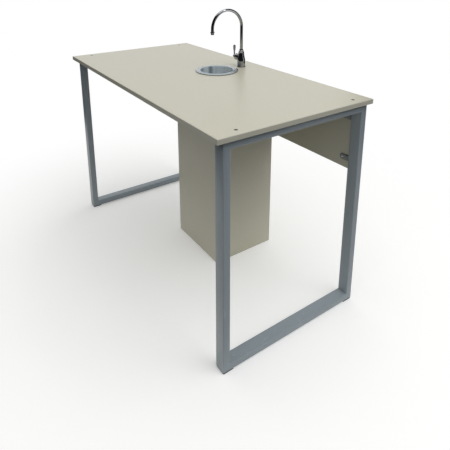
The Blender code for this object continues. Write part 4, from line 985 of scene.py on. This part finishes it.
def build_tap_fixing():
    """Threaded tail under the worktop with its plate and back nut."""
    base, head = heights("tap_shank")
    bore, thread = 0.0031, 0.0058
    shank = [(bore, base), (thread - 0.0008, base), (thread, base + 0.0008), (thread, head), (bore, head)]
    keep(lathe("tap_tail", loop(shank), TAP_FOOT, sides=48), "thread", replaces=["tap_shank"])
    ring("tap_plate", TAP_BORE, 0.014, *heights("tap_washer"), "zinc", "tap_washer", TAP_FOOT)
    low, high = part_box("tap_nut")
    middle = (0.0, TAP_Y, (low.z + high.z) / 2)
    nut = start("tap_backnut", bpy.ops.mesh.primitive_cylinder_add, vertices=6, radius=0.0105,
                depth=high.z - low.z, location=middle, rotation=(0.0, 0.0, pi / 2))
    only(nut)
    reach = 0.006
    hole = lathe("hole", [(0.0, -reach), (TAP_BORE, -reach), (TAP_BORE, reach), (0.0, reach)], middle, sides=40)
    carve(nut, hole)
    soften(nut, 0.0005)
    keep(nut, "brass", replaces=["tap_nut"])


def build_valve():
    """Conical bonnet at the left of the body, and the lever's ball and handle."""
    at = (0.0, TAP_Y, VALVE_Z)
    bore, wide, root, end = 0.0048, 0.0148, 0.010, 0.0425
    bonnet = [(bore, root), (wide, root), (wide, 0.0306), (0.0144, 0.0320), (0.0134, 0.0331), (0.0116, 0.0352),
              (0.0098, 0.0382), (0.0082, 0.0408), (0.0072, 0.0418), (0.0062, end), (bore, end)]
    keep(lathe("valve_cone", loop(bonnet), at, LEFT, 80), "chrome", replaces=["valve_bonnet"])

    radius, reach = 0.0064, 0.04855
    ball = [(0.0, end + GAP)] + [(radius * cos(radians(turn)), reach + radius * sin(radians(turn)))
                                 for turn in range(-64, 90, 11)] + [(0.0, reach + radius)]
    lever = lathe("lever_ball", ball, at, LEFT, 40)
    half_thickness, half_width = 0.0027, 0.0064
    sections = [((-reach, TAP_Y, VALVE_Z + rise), thickness * half_thickness, width * half_width)
                for rise, width, thickness in (
                    (0.0022, 0.46, 0.78), (0.008, 0.47, 0.74), (0.014, 0.49, 0.74), (0.020, 0.60, 0.82),
                    (0.026, 0.76, 0.92), (0.032, 0.92, 1.0), (0.037, 1.00, 1.0), (0.0415, 0.96, 0.97),
                    (0.0450, 0.80, 0.86), (0.0470, 0.52, 0.64), (0.0478, 0.24, 0.36))]
    paddle = loft("paddle", sections)
    modify(paddle, "SUBSURF", levels=2, render_levels=2)
    carve(lever, paddle, "UNION")
    keep(lever, "chrome", "lever", ["tap_lever"], angle=60)


def build_spout():
    """Gooseneck with its collar, its nozzle and the aerator's mesh."""
    low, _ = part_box("spout")
    spring, drop_length = TOP + 0.1668, 0.0119
    pipe = start("gooseneck", bpy.ops.mesh.primitive_circle_add, vertices=48, radius=SPOUT,
                 location=(0.0, TAP_Y, low.z))
    push((0.0, 0.0, spring - low.z))
    bpy.ops.mesh.spin(steps=72, angle=pi, center=(0.0, TAP_Y - ARCH, spring), axis=LEFT)
    push((0.0, 0.0, -drop_length))
    close_pipe(pipe, 0.001)
    keep(pipe, "chrome", "spout", ["spout"])

    low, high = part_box("spout_collar")
    rise = high.z - low.z
    inner, outer = 0.0063, 0.0077
    collar = [(inner, 0.0), (outer - 0.0005, 0.0), (outer, 0.0005), (outer, rise - 0.0012),
              (outer - 0.0005, rise - 0.0003), (0.0066, rise), (inner, rise)]
    piece = lathe("collar_ring", loop(collar), (0.0, TAP_Y, low.z), sides=56)
    keep(piece, "black", "spout", ["spout_collar"])

    low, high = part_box("spout_nozzle")
    at = (0.0, TAP_Y - 2 * ARCH, low.z)
    rise = high.z - low.z
    step, shelf = rise - 0.0047, rise - 0.0035
    socket, wide, slim, bore = 0.0063, 0.0084, 0.0066, 0.0055
    nozzle = [(socket, rise), (0.0077, rise), (0.0083, rise - 0.0004), (wide, rise - 0.0010),
              (wide, step + 0.0006), (0.0081, step + 0.0002), (0.0067, step), (slim, step - 0.0006),
              (slim, 0.0006), (0.0062, 0.0), (0.0056, 0.0), (bore, 0.0005), (bore, shelf), (socket, shelf)]
    keep(lathe("nozzle", loop(nozzle), at, sides=64), "chrome", "spout", ["spout_nozzle"])
    net, base, face = bore - 0.0002, 0.0016, 0.0024
    mesh = lathe("aerator", [(0.0, base), (net, base), (net, face), (0.0, face)], at, sides=32)
    keep(mesh, screen("aerator_mesh", at), "spout")


# Studio: light from the sky by direction, the floor's looks and reaches, the cards in degrees, and the camera
SKY = {"all": 0.04, "up": 0.96, "right": 0.13, "front": 0.05, "back": 0.18}
FLOOR_SEEN = (0.92, 0.92, 0.91, 1.0)
FLOOR_GLOW = (0.19, 0.19, 0.187, 1.0)
FLOOR_CENTRE = (0.05, 0.02, 0.0)
FLOOR_REACH = (1.12, 0.85)
BOUNCE = (0.97, 0.97, 0.955, 1.0)
BOUNCE_REACH = (0.74, 0.4)
CARD_GAP = (63, 76)
CARD_END = 142
CARD_COLOUR = (0.012, 0.013, 0.014, 1.0)
CAMERA_PLACE = (1.47336, -0.87831, 1.19745)
CAMERA_WAY = (-0.79567, 0.54617, -0.26193)
CAMERA_LENS = 36.286
CAMERA_SHIFT = (0.00116, -0.3211)


def build_floor():
    """Pale floor that shows the table's soft shadow, fades to white and lights the table from below."""
    floor = start("studio_floor", bpy.ops.mesh.primitive_plane_add, size=40.0, location=ORIGIN)
    only(floor)
    made = Finish("studio_floor", specular=0.0, roughness=0.9)
    seen = made.seen()
    reach = made.vector("LENGTH", made.place(FLOOR_CENTRE, LEVEL), output=1)
    near = reach.below(*FLOOR_REACH)
    bounce = made.blend(reach.below(*BOUNCE_REACH), BLACK, BOUNCE)
    made.set("Base Color", made.blend(seen, bounce, made.blend(near, BLACK, FLOOR_SEEN)))
    made.set("Emission Color", made.blend(seen, BLACK, made.blend(near, WHITE, FLOOR_GLOW)))
    made.set("Emission Strength", 1.0)
    floor.data.materials.append(made.material)


def build_cards():
    """Dark cards round the near side of the set, which only the polished pieces reflect."""
    cards = start("studio_cards", bpy.ops.mesh.primitive_cylinder_add, vertices=72, radius=1.9, depth=4.4,
                  location=(0.0, 0.0, 2.21), end_fill_type="NOTHING")

    def opening(middle, normal):
        turn = -Vector((0.8245, -0.5659)).angle_signed(middle.xy.normalized()) * 180 / pi
        return abs(turn) > CARD_END or CARD_GAP[0] < turn < CARD_GAP[1]

    choose(cards, "FACE", opening)
    bpy.ops.mesh.delete(type="FACE")
    only(cards)
    made = Finish("dark_card", specular=0.0, roughness=1.0)
    made.set("Base Color", BLACK)
    made.set("Emission Color", CARD_COLOUR)
    made.set("Emission Strength", 1.0)
    cards.data.materials.append(made.material)
    for kind in ("camera", "diffuse", "transmission", "volume_scatter", "shadow"):
        setattr(cards, "visible_" + kind, False)


def build_lamp(name, place, aim, size, power):
    """Rectangular lamp that the camera doesn't see."""
    bpy.ops.object.light_add(type="AREA", location=place)
    lamp = bpy.context.object
    lamp.name = name
    lamp.data.shape = "RECTANGLE"
    lamp.data.size, lamp.data.size_y = size
    lamp.data.energy = power
    lamp.rotation_euler = (Vector(aim) - Vector(place)).to_track_quat("-Z", "Y").to_euler()
    lamp.visible_camera = False


def build_sky():
    """Soft dome of light, white where the camera or a gloss sees it."""
    world = bpy.data.worlds.new("studio_sky")
    bpy.context.scene.world = world
    sky = Shading(world)
    right, back, up = sky.axes(sky.node("ShaderNodeTexCoord", output=0))
    level = SKY["all"] + SKY["up"] * up.calc("MAXIMUM", 0.0)
    for side, way in (("right", right), ("back", back), ("front", back * -1.0)):
        level = level + SKY[side] * way.calc("MAXIMUM", 0.0)
    light = sky.node("ShaderNodeCombineXYZ", None, (level, level, level))
    sky.feed(sky.nodes["Background"].inputs["Color"], sky.blend(sky.seen(), light, WHITE))


def build_camera():
    """Camera of the photograph, with the shift of its off-centre framing."""
    bpy.ops.object.camera_add(location=CAMERA_PLACE)
    camera = bpy.context.object
    camera.rotation_euler = Vector(CAMERA_WAY).to_track_quat("-Z", "Y").to_euler()
    camera.data.sensor_fit = "HORIZONTAL"
    camera.data.sensor_width = 36.0
    camera.data.lens = CAMERA_LENS
    camera.data.shift_x, camera.data.shift_y = CAMERA_SHIFT
    bpy.context.scene.camera = camera


dress_boards()
build_end_frame("left")
build_end_frame("right")
build_frame_welds()
build_lugs()
build_worktop_screws()
build_pedestal_screws()
build_sink()
build_drain()
outlet_z = centre("trap_outlet_nut")[2]
build_waste_nuts(outlet_z)
build_trap(outlet_z)
build_waste_pipe(outlet_z)
build_tap_body()
build_tap_fixing()
build_valve()
build_spout()
build_floor()
build_cards()
build_lamp("right_softbox", place=(1.9, 0.6, 2.9), aim=(0.3, 0.0, 0.7), size=(1.6, 2.0), power=21.0)
build_sky()
build_camera()
bpy.context.scene.view_settings.view_transform = "Standard"
